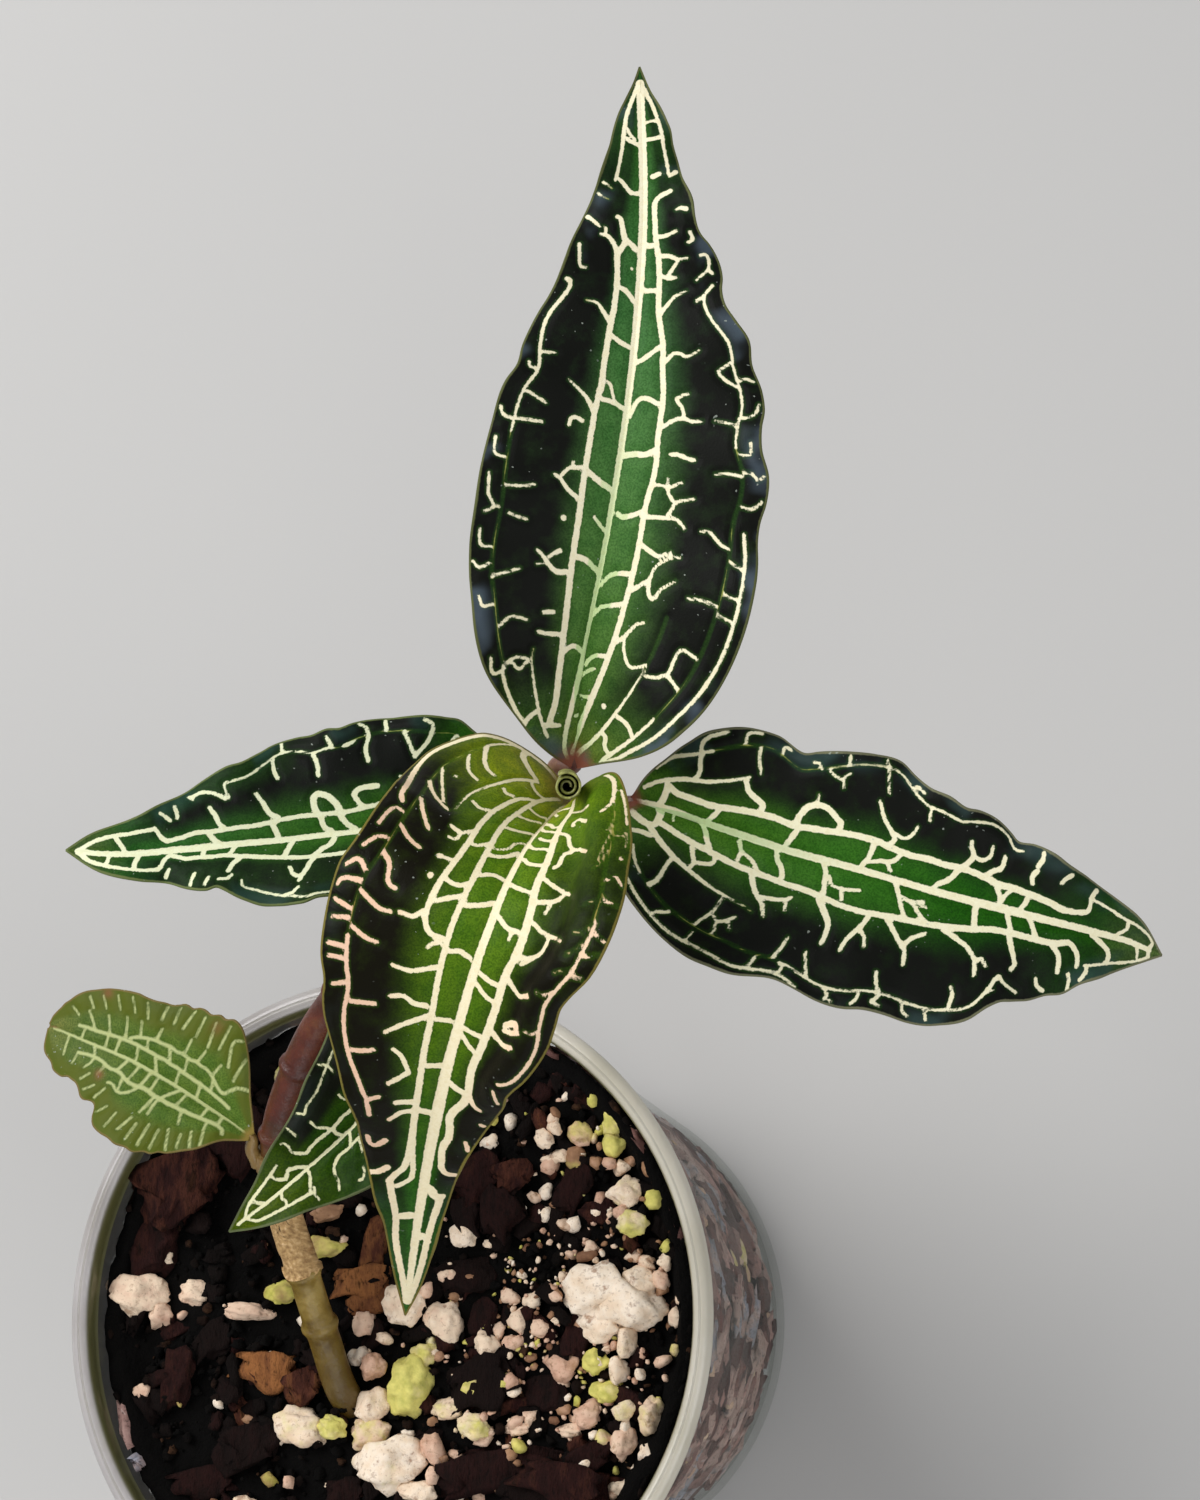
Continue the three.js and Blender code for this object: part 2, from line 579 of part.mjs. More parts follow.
// The middle surface of a blade: u runs from the stalk to the tip, v from -1 at the left margin to 1.
function bladePoint(leaf, u, v) {
  const tangent = leaf.curve.getTangentAt(u);
  const up = new THREE.Vector3(...[1, 2, 3].map((k) => alongRows(leaf.face, k, u)));
  up.addScaledVector(tangent, -up.dot(tangent)).normalize();
  const across = new THREE.Vector3().crossVectors(tangent, up);

  const side = Math.sign(v);
  const m = Math.abs(v);
  const half = along(STATIONS, side < 0 ? leaf.left : leaf.right, u);
  const slope = alongRows(leaf.fold, side < 0 ? 1 : 2, u);
  const curl = alongRows(leaf.fold, 3, u);
  const sweep = degrees(alongRows(leaf.fold, 4, u)) * m;
  let step = 0;
  if (side < 0 && leaf.leftRidge) {
    const [from, to, extra] = leaf.leftRidge;
    step = extra * ease((u - from) / BLADE.ridgeEnds[0]) * ease((to - u) / BLADE.ridgeEnds[1]);
  }

  // Walk out from the midrib in short strides, each at its own slope.
  const stride = m / BLADE.strides;
  let out = 0;
  let rise = 0;
  for (let i = 0; i < BLADE.strides; i += 1) {
    const q = (i + 0.5) * stride;
    const onRidge = ease(1 - Math.abs(q - BLADE.ridgeAt) / BLADE.ridgeReach);
    const angle = degrees(slope + curl * q + step * onRidge);
    out += Math.cos(angle) * stride;
    rise += Math.sin(angle) * stride;
  }
  const [height, waves, start] = leaf.wave;
  const wave = height * ease(u / BLADE.waveEnds[0]) * ease((1 - u) / BLADE.waveEnds[1]) * m ** 3
    * Math.sin(2 * Math.PI * waves * u + start + side * BLADE.waveShift);

  return leaf.curve.getPointAt(u)
    .addScaledVector(across, side * Math.cos(sweep) * half * out)
    .addScaledVector(tangent, Math.sin(sweep) * half * out)
    .addScaledVector(up, half * rise + wave);
}

function bladeNormal(leaf, u, v) {
  const [du, dv] = [0.004, 0.02];
  const alongU = bladePoint(leaf, Math.min(u + du, 1), v).sub(bladePoint(leaf, Math.max(u - du, 0), v));
  const alongV = bladePoint(leaf, u, Math.min(v + dv, 1)).sub(bladePoint(leaf, u, Math.max(v - dv, -1)));
  return alongV.cross(alongU).normalize();
}

// A slab bent into the blade: its long side becomes u, its short side v and its depth the thickness.
function bladeGeometry(leaf) {
  const slab = new THREE.BoxGeometry(1, 1, 1, leaf.steps[0], leaf.steps[1], 1);
  return mapped(slab, (p) => {
    const u = Math.min((p.x + 0.5) ** BLADE.crowding, 1);
    const v = -2 * p.y;
    return bladePoint(leaf, u, v).addScaledVector(bladeNormal(leaf, u, v), p.z * BLADE.thickness);
  });
}

// Blade, stalk and clasping sheath, grown as one piece.
function leafSolid(leaf) {
  const under = bladeNormal(leaf, STALK.reach, 0).multiplyScalar(-STALK.depth);
  const inBlade = bladePoint(leaf, STALK.reach, 0).add(under);
  const stalkCurve = curveThrough([...leaf.stalk, inBlade.toArray()]);
  const taper = (u) => STALK.radius * THREE.MathUtils.lerp(1, STALK.endShare, u);
  const stalk = bar(stalkCurve, evenStops(STALK.steps), taper, STALK.sides);
  const [from, to] = leaf.clasps;
  const inner = leaf.claspRadius + GAP;
  const sheath = collar(leaf.claspCurve, from, to, inner, inner + SHEATH.wall, SHEATH.sides);
  const grown = solidOf(bladeGeometry(leaf)).add(solidOf(stalk)).add(solidOf(sheath));
  return mainBody(grown.subtract(stemClearance).subtract(rollClearance));
}

const stemClearance = stemSolid(GAP);
const rollClearance = solidOf(rollFoot(ROLL.clearance))
  .add(ballAt(ROLL.line[0], ROLL.footRadius + ROLL.clearance));

// The front leaf is the youngest open one: its sheath stands on the stem's end, round the rolled leaf.
const tipCurve = curveThrough(TIP);
const tipShare = (z) => THREE.MathUtils.inverseLerp(TIP[0][2], TIP.at(-1)[2], z);
for (const [name, leaf] of Object.entries(LEAVES)) {
  const onTip = name === "leaf_front";
  leaf.curve = curveThrough(leaf.midrib);
  leaf.claspCurve = onTip ? tipCurve : stemCurve;
  leaf.clasps = leaf.sheath.map(onTip ? tipShare : stemShare);
  leaf.claspRadius = onTip ? ROLL.footRadius + GAP : stemRadius((leaf.clasps[0] + leaf.clasps[1]) / 2);
}

// The solid foot on which the rolled strip stands, swollen by extra.
function rollFoot(extra) {
  const wide = (u) => THREE.MathUtils.smoothstep(u, ...ROLL.footWidens);
  const radius = (u) => THREE.MathUtils.lerp(ROLL.footRadius, ROLL.footTop, wide(u)) + extra;
  const stops = evenStops(2 * ROLL.stepsAlong).filter((u) => u < ROLL.footEnd);
  return bar(curveThrough(ROLL.line), stops, radius, ROLL.sides);
}

function rollSolid() {
  const curve = curveThrough(ROLL.line);
  const length = curve.getLength();
  const centre = ROLL.outerRadius - ROLL.strip / 2;
  const pitch = ROLL.strip + ROLL.air;
  const around = (edge) => {
    const points = [];
    for (let i = 0; i <= ROLL.stepsAround; i += 1) {
      const a = (i / ROLL.stepsAround) * ROLL.turns * 2 * Math.PI;
      const r = centre + edge - (pitch * a) / (2 * Math.PI);
      points.push(new THREE.Vector2(r * Math.cos(a), r * Math.sin(a)));
    }
    return points;
  };
  const outline = [...around(ROLL.strip / 2), ...around(-ROLL.strip / 2).reverse()];
  const strip = new THREE.ExtrudeGeometry(new THREE.Shape(outline), {
    depth: 1,
    steps: ROLL.stepsAlong,
    bevelEnabled: false,
  });
  mapped(strip, (p) => {
    const lowered = (ROLL.slant / length) * THREE.MathUtils.clamp((p.x / centre + 1) / 2, 0, 1);
    const u = THREE.MathUtils.lerp(ROLL.stripFrom, 1 - lowered, p.z);
    const squeeze = THREE.MathUtils.lerp(ROLL.squeeze, 1, ease(p.z * 3));
    return beside(curve, u, p.x * squeeze, -p.y * squeeze);
  });
  return solidOf(rollFoot(0)).add(solidOf(strip));
}

// ---------------------------------------------------------------- scene

const paint = (color, roughness, more = {}) =>
  new THREE.MeshStandardMaterial({ color, roughness, metalness: 0, ...more });

const group = new THREE.Group();
function place(name, solid, material) {
  const mesh = new THREE.Mesh(geometryOf(solid), material);
  mesh.name = name;
  group.add(mesh);
}

place("pot", potSolid(), paint(0xb9bab6, 0.35, { transparent: true, opacity: 0.55 }));
place("substrate", soilSolid(), paint(0x2a2420, 0.95));
place("stem", stemSolid(0), paint(0x7a6a3c, 0.6));
const leafColors = {
  leaf_top: 0x16281a,
  leaf_right: 0x16281a,
  leaf_left: 0x1a2f1f,
  leaf_front: 0x2c4a1c,
  leaf_lower: 0x1c3520,
  leaf_old: 0x4d6a2c,
};
for (const [name, leaf] of Object.entries(LEAVES)) {
  place(name, leafSolid(leaf), paint(leafColors[name], 0.55));
}
place("leaf_new_rolled", rollSolid(), paint(0x8a9440, 0.5));

export default group;
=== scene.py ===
import math
import random

import bpy
import numpy as np
from mathutils import Matrix, Vector, noise


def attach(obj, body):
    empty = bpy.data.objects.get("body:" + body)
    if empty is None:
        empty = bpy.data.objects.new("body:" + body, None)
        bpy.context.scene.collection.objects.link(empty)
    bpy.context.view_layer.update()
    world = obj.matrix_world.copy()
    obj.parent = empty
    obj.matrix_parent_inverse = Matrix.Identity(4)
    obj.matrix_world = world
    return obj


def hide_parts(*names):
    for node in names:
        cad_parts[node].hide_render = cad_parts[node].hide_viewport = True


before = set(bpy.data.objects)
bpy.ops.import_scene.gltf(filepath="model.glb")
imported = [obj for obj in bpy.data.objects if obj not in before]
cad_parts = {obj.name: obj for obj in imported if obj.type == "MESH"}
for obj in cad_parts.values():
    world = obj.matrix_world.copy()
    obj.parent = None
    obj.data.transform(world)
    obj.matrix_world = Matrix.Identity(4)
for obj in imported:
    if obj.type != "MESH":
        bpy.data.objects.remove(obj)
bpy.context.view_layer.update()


# ---------------------------------------------------------------- studio
# A pale floor, a large soft light overhead on the left, a weaker one on the right, and a camera that
# looks steeply down on the crown, slightly from the front right.
def fill(node, sockets):
    """Sets a node's inputs, or links those whose value is another node's output."""
    for key, value in sockets.items():
        socket = node.inputs[key]
        if isinstance(value, bpy.types.NodeSocket):
            node.id_data.links.new(value, socket)
        elif socket.type == "RGBA" and len(value) == 3:
            socket.default_value = (*value, 1)
        else:
            socket.default_value = value


bpy.ops.object.select_all(action="DESELECT")
bpy.ops.object.camera_add()
camera = bpy.context.object
camera.name = "camera"
right = Vector((0.961332696, 0.0, -0.27538963))
up = Vector((0.05194317, 0.98205072, 0.18132371))
back = Vector((0.27044658, -0.18861702, 0.94407747))
camera.matrix_world = Matrix.Translation((0.13805698, -0.00615504, 0.46032127)) @ Matrix(
    (right, up, back)
).transposed().to_4x4()
camera.data.lens = 76.8
camera.data.sensor_width = 36
camera.data.clip_start = 0.01
bpy.context.scene.camera = camera

middle_of_leaves = Vector((0.03, 0.03, 0.10))
for name, place, size, watts in (
    ("key_light", (-0.34, 0.30, 0.62), 0.55, 5.2),
    ("fill_light", (0.60, -0.30, 0.55), 0.50, 1.8),
    ("low_light", (0.10, -0.75, 0.30), 0.45, 1.3),
):
    bpy.ops.object.light_add(type="AREA", location=place)
    lamp = bpy.context.object
    lamp.name = name
    lamp.data.size = size
    lamp.data.energy = watts
    lamp.rotation_euler = (middle_of_leaves - lamp.location).to_track_quat("-Z", "Y").to_euler()

daylight = bpy.data.worlds.new("soft_daylight")
bpy.context.scene.world = daylight
daylight.use_nodes = True
fill(daylight.node_tree.nodes["Background"], {"Color": (0.92, 0.95, 1.0), "Strength": 0.38})
bpy.context.scene.view_settings.view_transform = "Standard"

bpy.ops.mesh.primitive_plane_add(size=6)
floor = bpy.context.object
floor.name = "studio_floor"
floor_paint = bpy.data.materials.new("floor_paint")
floor_paint.use_nodes = True
fill(floor_paint.node_tree.nodes["Principled BSDF"], {"Base Color": (0.50, 0.49, 0.475), "Roughness": 0.85})
floor.data.materials.append(floor_paint)


# ---------------------------------------------------------------- pot
# A clear orchid pot, blow-moulded from soft polypropylene in one piece. The rim is rolled and milky,
# the wall is clear with a faint haze of lime and scratches, and the floor has six drain holes.
pot_height = 0.078
rim_radius = 0.0425
neck_radius = 0.0409
foot_radius = 0.0345
floor_radius = 0.0322
foot_height = 0.0022
wall_height = 0.0726
wall = 0.001


def start_piece(name):
    """Names the object just added, and its mesh."""
    made = bpy.context.object
    made.name = name
    made.data.name = name
    return made


def settle(piece):
    """Bakes the object's place into its mesh, leaves it at the origin and shades it smooth."""
    bpy.ops.object.select_all(action="DESELECT")
    piece.select_set(True)
    bpy.context.view_layer.objects.active = piece
    bpy.ops.object.transform_apply(location=True, rotation=True, scale=True)
    bpy.ops.object.shade_smooth()


def finish_with(piece, kind, **settings):
    """Adds one modifier and applies it."""
    bpy.context.view_layer.objects.active = piece
    modifier = piece.modifiers.new(kind.lower(), kind)
    for key, value in settings.items():
        setattr(modifier, key, value)
    bpy.ops.object.modifier_apply(modifier=modifier.name)


def start_disc(name, sides, radius, z):
    """A flat disc at a height as a new piece, in edit mode with its rim selected."""
    bpy.ops.mesh.primitive_circle_add(vertices=sides, radius=radius, fill_type="NGON", location=(0, 0, z))
    disc = start_piece(name)
    bpy.ops.object.mode_set(mode="EDIT")
    bpy.ops.mesh.select_all(action="SELECT")
    bpy.ops.mesh.region_to_loop()
    return disc


def raise_rings(rings, start):
    """Extrudes the selected ring of edges through (radius, height) pairs."""
    radius, height = start
    for to_radius, to_height in rings:
        bpy.ops.mesh.extrude_edges_move(TRANSFORM_OT_translate={"value": (0, 0, to_height - height)})
        share = to_radius / radius
        bpy.ops.transform.resize(value=(share, share, 1))
        radius, height = to_radius, to_height


def wall_radius(z):
    """Outside radius of the pot's wall at a height."""
    return foot_radius + (neck_radius - foot_radius) * (z - foot_height) / wall_height


def add_node(tree, kind, sockets=None, **settings):
    """Adds a shader node, sets its options, and fills its inputs."""
    made = tree.nodes.new(kind)
    for key, value in settings.items():
        setattr(made, key, value)
    fill(made, sockets or {})
    return made


def add_ramp(tree, factor, stops):
    """A colour ramp: stops are (place, colour)."""
    ramp = add_node(tree, "ShaderNodeValToRGB", {"Fac": factor})
    points = ramp.color_ramp.elements
    while len(points) < len(stops):
        points.new(0.5)
    for point, (place, color) in zip(points, stops):
        point.position = place
        point.color = (*color, 1)
    return ramp.outputs["Color"]


def add_range(tree, value, low, high, to_low=0.0, to_high=1.0):
    """A smooth step of a value from one range to another."""
    made = add_node(
        tree, "ShaderNodeMapRange",
        {"Value": value, "From Min": low, "From Max": high, "To Min": to_low, "To Max": to_high},
        interpolation_type="SMOOTHSTEP",
    )
    return made.outputs["Result"]


def add_math(tree, operation, first, second=0.0):
    """One sum on values."""
    return add_node(tree, "ShaderNodeMath", {0: first, 1: second}, operation=operation).outputs[0]


def add_share(tree, base, value, share):
    """A value with a share of another one added to it."""
    return add_math(tree, "ADD", base, add_math(tree, "MULTIPLY", value, share))


def add_mix(tree, share, first, second, blend="MIX"):
    """A mix of two colours by a share."""
    sockets = {0: share, 6: first, 7: second}
    return add_node(tree, "ShaderNodeMix", sockets, data_type="RGBA", blend_type=blend).outputs[2]


def add_noise(tree, place, scale, detail, roughness=0.55):
    """Soft noise at so many bumps a metre."""
    made = add_node(
        tree, "ShaderNodeTexNoise",
        {"Vector": place, "Scale": scale, "Detail": detail, "Roughness": roughness},
    )
    return made.outputs["Fac"]


def stretched(tree, place, scale):
    """The same place with each axis scaled, which draws a pattern out along the smallest."""
    return add_node(tree, "ShaderNodeMapping", {"Vector": place, "Scale": scale}).outputs["Vector"]


def start_material(name):
    """A material with an empty tree but for its shader, and the object's own coordinates."""
    made = bpy.data.materials.new(name)
    made.use_nodes = True
    tree = made.node_tree
    place = add_node(tree, "ShaderNodeTexCoord").outputs["Object"]
    return made, tree, tree.nodes["Principled BSDF"], place


def add_bump(tree, shader, height, depth):
    """Bump in metres on a shader."""
    bump = add_node(tree, "ShaderNodeBump", {"Height": height, "Distance": depth})
    fill(shader, {"Normal": bump.outputs["Normal"]})


def see_through(tree, shader, cover):
    """Lets light straight through a skin, but for the share of it that the cover gives."""
    air = add_node(tree, "ShaderNodeBsdfTransparent", {"Color": (0.93, 0.94, 0.93)})
    both = add_node(tree, "ShaderNodeMixShader", {0: cover, 1: air.outputs[0], 2: shader.outputs[0]})
    fill(tree.nodes["Material Output"], {"Surface": both.outputs[0]})


pot = start_disc("clear_pot", 128, floor_radius, 0.0)
outside = [
    (0.0332, 0.0003), (0.0341, 0.0011), (foot_radius, foot_height), (0.0363, 0.023), (0.0381, 0.043),
    (0.0398, 0.062), (neck_radius, 0.0746),
]
bead = [
    (0.0417, 0.0750), (0.0423, 0.0757), (rim_radius, 0.0766), (0.0423, 0.0773), (0.0418, 0.0778),
    (0.0412, pot_height), (0.0406, 0.0778), (0.0401, 0.0773), (0.0399, 0.0766), (0.0399, 0.0755),
]
inside = [
    (0.0399, 0.0746), (0.0388, 0.062), (0.0371, 0.043), (0.0353, 0.023), (0.0336, 0.0032), (0.0326, 0.0016),
    (0.0310, 0.0014),
]
raise_rings(outside + bead + inside, (floor_radius, 0.0))
bpy.ops.mesh.edge_face_add()
bpy.ops.mesh.select_all(action="SELECT")
bpy.ops.mesh.normals_make_consistent(inside=False)
bpy.ops.object.mode_set(mode="OBJECT")
drain_holes = 6
drain_radius = 0.0026
drain_from_middle = 0.022
for number in range(drain_holes):
    angle = 2 * math.pi * number / drain_holes
    place = (drain_from_middle * math.cos(angle), drain_from_middle * math.sin(angle), 0)
    bpy.ops.mesh.primitive_cylinder_add(vertices=24, radius=drain_radius, depth=0.006, location=place)
    drill = bpy.context.object
    finish_with(pot, "BOOLEAN", operation="DIFFERENCE", object=drill, solver="EXACT")
    bpy.data.objects.remove(drill)
settle(pot)
bpy.ops.object.shade_smooth_by_angle(angle=math.radians(50))

clear_plastic, tree, shader, place = start_material("clear_polypropylene")
haze = add_range(tree, add_noise(tree, stretched(tree, place, (1, 1, 0.25)), 160, 6, 0.7), 0.45, 0.75)
blotch = add_range(tree, add_noise(tree, place, 60, 3), 0.42, 0.66)
glancing = add_node(tree, "ShaderNodeLayerWeight", {"Blend": 0.25}).outputs["Facing"]
cover = add_share(tree, add_math(tree, "MULTIPLY", glancing, 0.10), haze, 0.05)
cover = add_math(tree, "ADD", add_share(tree, cover, blotch, 0.04), 0.02)
fill(shader, {"Base Color": (0.42, 0.41, 0.38), "Roughness": 0.14, "IOR": 1.49})
see_through(tree, shader, cover)
pot.data.materials.append(clear_plastic)

milky_plastic, tree, shader, place = start_material("milky_rim")
bands = add_noise(tree, place, 45, 2)
# Painted shade and light: the rim is greyer and darker lilac on its left and brighter cream on its right, as
# if shaded on one side and lit on the other.
painted_shade_lilacs = [(0.35, (0.36, 0.33, 0.31)), (0.6, (0.49, 0.46, 0.45)), (0.75, (0.50, 0.46, 0.37))]
creams = [(0.35, (0.58, 0.54, 0.43)), (0.6, (0.76, 0.71, 0.61)), (0.75, (0.70, 0.66, 0.50))]
across = add_node(tree, "ShaderNodeSeparateXYZ", {"Vector": place}).outputs["X"]
painted_light_to_right = add_range(tree, across, -0.02, 0.03)
tint = add_mix(tree, painted_light_to_right, add_ramp(tree, bands, painted_shade_lilacs), add_ramp(tree, bands, creams))
flat_place = add_node(tree, "ShaderNodeVectorMath", {0: place, 1: (1, 1, 0)}, operation="MULTIPLY").outputs[0]
from_middle = add_node(tree, "ShaderNodeVectorMath", {0: flat_place}, operation="LENGTH").outputs["Value"]
tint = add_mix(tree, add_range(tree, from_middle, 0.0404, 0.0400, 0.0, 0.92), tint, (0.085, 0.085, 0.012))
seam_radius = 0.0411
from_seam = add_math(tree, "ABSOLUTE", add_math(tree, "SUBTRACT", from_middle, seam_radius))
seam = add_range(tree, from_seam, 0.00022, 0.00005)
tint = add_mix(tree, add_math(tree, "MULTIPLY", seam, 0.45), tint, (0.22, 0.20, 0.15))
fill(shader, {
    "Base Color": tint, "Roughness": 0.3, "Transmission Weight": 0.15,
    "Coat Weight": 0.3, "Coat Roughness": 0.12,
    "Subsurface Weight": 0.35, "Subsurface Radius": (0.004, 0.004, 0.0035),
})
add_bump(tree, shader, add_math(tree, "SUBTRACT", add_noise(tree, place, 900, 2), seam), 0.00008)
pot.data.materials.append(milky_plastic)

algae_film, tree, shader, place = start_material("algae_film")
film = add_noise(tree, place, 220, 5, 0.65)
slime = [(0.35, (0.006, 0.0045, 0.003)), (0.55, (0.012, 0.010, 0.005)), (0.75, (0.045, 0.042, 0.016))]
fill(shader, {"Base Color": add_ramp(tree, film, slime), "Roughness": 0.35})
height = add_node(tree, "ShaderNodeSeparateXYZ", {"Vector": place}).outputs["Z"]
see_through(tree, shader, add_range(tree, add_share(tree, height, film, 0.006), 0.0728, 0.0752, 0.04, 0.95))
pot.data.materials.append(algae_film)
milky_from = 0.0738
film_from = 0.060
halfway_through = 0.0004
for face in pot.data.polygons:
    inner = math.hypot(face.center.x, face.center.y) < wall_radius(face.center.z) - halfway_through
    filmed = inner and face.center.z > film_from
    face.material_index = 1 if face.center.z > milky_from else 2 if filmed else 0
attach(pot, "root")
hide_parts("pot")


# ---------------------------------------------------------------- potting mix
# Peat crumbs and bark fill the pot to just under the rim. Pumice and mossy stones of many sizes lie on
# top, thickest on the right, and bark and pumice press against the wall all the way down.
mm = 0.001
mix_top = 0.0716
mix_bottom = 0.0018
plug_foot_radius = 0.031
from_wall = 0.0021
bank_radius = 0.0372
bank_foot = 0.0715
stem_hole = Vector((-0.0068, -0.0099))
draw = random.Random(41)
noise.seed_set(41)


def mix_height(x, y):
    """Height of the mix's surface: the same gentle swells as the solid has."""
    swell = math.sin(x * 310 + 1.2) * math.cos(y * 270 - 0.4) + 0.5 * math.sin(x * 670 - y * 530)
    return mix_top + 0.0009 * swell


plug = start_disc("potting_mix", 96, plug_foot_radius, mix_bottom)
side_heights = (0.0045, 0.014, 0.025, 0.036, 0.047, 0.058, 0.068, 0.0712)
side_rings = [(wall_radius(z) - from_wall, z) for z in side_heights]
bank_edges = ((0.0724, 0.0016), (0.0734, 0.0015), (0.0735, 0.0030))
bank_rings = [(wall_radius(z) - inward, z) for z, inward in bank_edges]
top_rings = [(mm * radius, mix_top - 0.0006) for radius in range(36, 0, -3)]
raise_rings(side_rings + bank_rings + top_rings, (plug_foot_radius, mix_bottom))
bpy.ops.mesh.merge(type="CENTER")
bpy.ops.mesh.select_all(action="SELECT")
bpy.ops.mesh.normals_make_consistent(inside=False)
bpy.ops.mesh.subdivide(number_cuts=1)
bpy.ops.object.mode_set(mode="OBJECT")
for vertex in plug.data.vertices:
    if math.hypot(vertex.co.x, vertex.co.y) > bank_radius and vertex.co.z > bank_foot:
        vertex.co.z += 0.0010 * noise.noise(vertex.co * 700) + 0.0006 * noise.noise(vertex.co * 190)
    elif vertex.co.z > mix_top - 0.001:
        deep = noise.fractal(vertex.co * 260, 1.0, 2.0, 3)
        vertex.co.z = mix_height(vertex.co.x, vertex.co.y) - 0.0014 + 0.0011 * deep
    elif vertex.co.z > 0.003:
        pull = min(1 + 0.02 * noise.fractal(vertex.co * 180, 1.0, 2.0, 3), 1.0)
        vertex.co.x *= pull
        vertex.co.y *= pull
settle(plug)


def shaped_stone(name, seed, fineness, corners, pitting):
    """One stone or crumb as a pattern for many: a ball cut by a few flat faces, then pitted."""
    bpy.ops.mesh.primitive_ico_sphere_add(subdivisions=fineness, radius=0.5)
    stone = start_piece(name)
    chooser = random.Random(seed)
    cuts = []
    for _ in range(corners):
        facing = Vector((chooser.gauss(0, 1), chooser.gauss(0, 1), chooser.gauss(0, 1))).normalized()
        cuts.append((facing, chooser.uniform(0.33, 0.47)))
    for vertex in stone.data.vertices:
        way = vertex.co.normalized()
        reach = min([0.52] + [far / max(way.dot(facing), 0.01) for facing, far in cuts])
        lump = noise.noise(way * 1.9 + Vector((seed, 0, 0)))
        pit = abs(noise.noise(way * 5.5 + Vector((0, seed, 0))))
        vertex.co = way * reach * (1 + 0.26 * lump) * (1.04 - pitting * pit)
    return stone


def shaped_bark(name, seed, cuts):
    """One lump of bark as a pattern for many: a worn block with ridges along its grain."""
    bpy.ops.mesh.primitive_cube_add(size=1)
    lump = start_piece(name)
    bpy.ops.object.mode_set(mode="EDIT")
    bpy.ops.mesh.subdivide(number_cuts=cuts)
    bpy.ops.object.mode_set(mode="OBJECT")
    for vertex in lump.data.vertices:
        worn = vertex.co.lerp(vertex.co.normalized() * 0.55, 0.55)
        shift = noise.noise_vector(worn * 2.4 + Vector((seed, 0, 0)))
        ridge = abs(noise.noise(Vector((worn.x * 1.6, worn.y * 6.5, worn.z * 5 + seed))))
        vertex.co = worn + Vector((shift.x * 0.34, shift.y * 0.36, shift.z * 0.26 + 0.24 * ridge))
    return lump


stones = [shaped_stone("stone_pattern_%d" % k, 11 + k, 4, 9 + k % 3, 0.13) for k in range(7)]
pebbles = [shaped_stone("pebble_pattern_%d" % k, 11 + k, 3, 9 + k % 3, 0.13) for k in range(7)]
grit = [shaped_stone("grit_pattern_%d" % k, 31 + k, 2, 8, 0.15) for k in range(6)]
specks = [shaped_stone("speck_pattern_%d" % k, 31 + k, 1, 8, 0.15) for k in range(6)]
crumbs = [shaped_stone("crumb_pattern_%d" % k, 51 + k, 2, 10, 0.9) for k in range(5)]
dust = [shaped_stone("dust_pattern_%d" % k, 51 + k, 1, 10, 0.9) for k in range(5)]
lumps = [shaped_bark("bark_pattern_%d" % k, 3.7 * k, 6) for k in range(4)]
flakes = [shaped_bark("flake_pattern_%d" % k, 5.1 * k + 1, 2) for k in range(5)]
scattered = {"pumice_and_grit": [], "peat_crumbs": [], "bark_lumps": [], "bark_by_the_wall": []}


def note_on(piece, name, values):
    """Notes one number on each point of a piece, for its material to read."""
    piece.data.attributes.new(name, "FLOAT", "POINT").data.foreach_set("value", values)


def lay(heap, patterns, size, place, turn, tone, moss=0.0):
    """Copies one of the patterns to its place, with its own mesh, tone and share of moss."""
    pattern = draw.choice(patterns)
    copy = pattern.copy()
    copy.data = pattern.data.copy()
    bpy.context.collection.objects.link(copy)
    copy.data.transform(Matrix.Translation(place) @ turn.to_4x4() @ Matrix.Diagonal((*size, 1)))
    note_on(copy, "tone", [tone] * len(copy.data.vertices))
    note_on(copy, "moss", [moss] * len(copy.data.vertices))
    scattered[heap].append(copy)


def spin(x=0.0, y=0.0, z=0.0):
    """A turn about the three axes, in radians."""
    return Matrix.Rotation(z, 3, "Z") @ Matrix.Rotation(y, 3, "Y") @ Matrix.Rotation(x, 3, "X")


def anywhere(reach):
    """A radius and an angle, drawn evenly over a round surface."""
    return reach * math.sqrt(draw.random()), draw.random() * 2 * math.pi


def spot_in_pot(radius, angle, half, lift):
    """A place on the mix that keeps the piece's half length clear of the wall."""
    radius = min(radius, 0.0393 - half)
    x, y = radius * math.cos(angle), radius * math.sin(angle)
    return Vector((x, y, mix_height(x, y) + lift))


def flat_on_wall(z, angle, inward):
    """A place inside the wall at a height, and a turn that lays a piece flat against the wall."""
    radius = wall_radius(z) - wall - inward
    spot = Vector((radius * math.cos(angle), radius * math.sin(angle), z))
    return spot, spin(z=angle) @ Matrix.Rotation(math.pi / 2, 3, "Y") @ spin(z=draw.random() * 6.3)


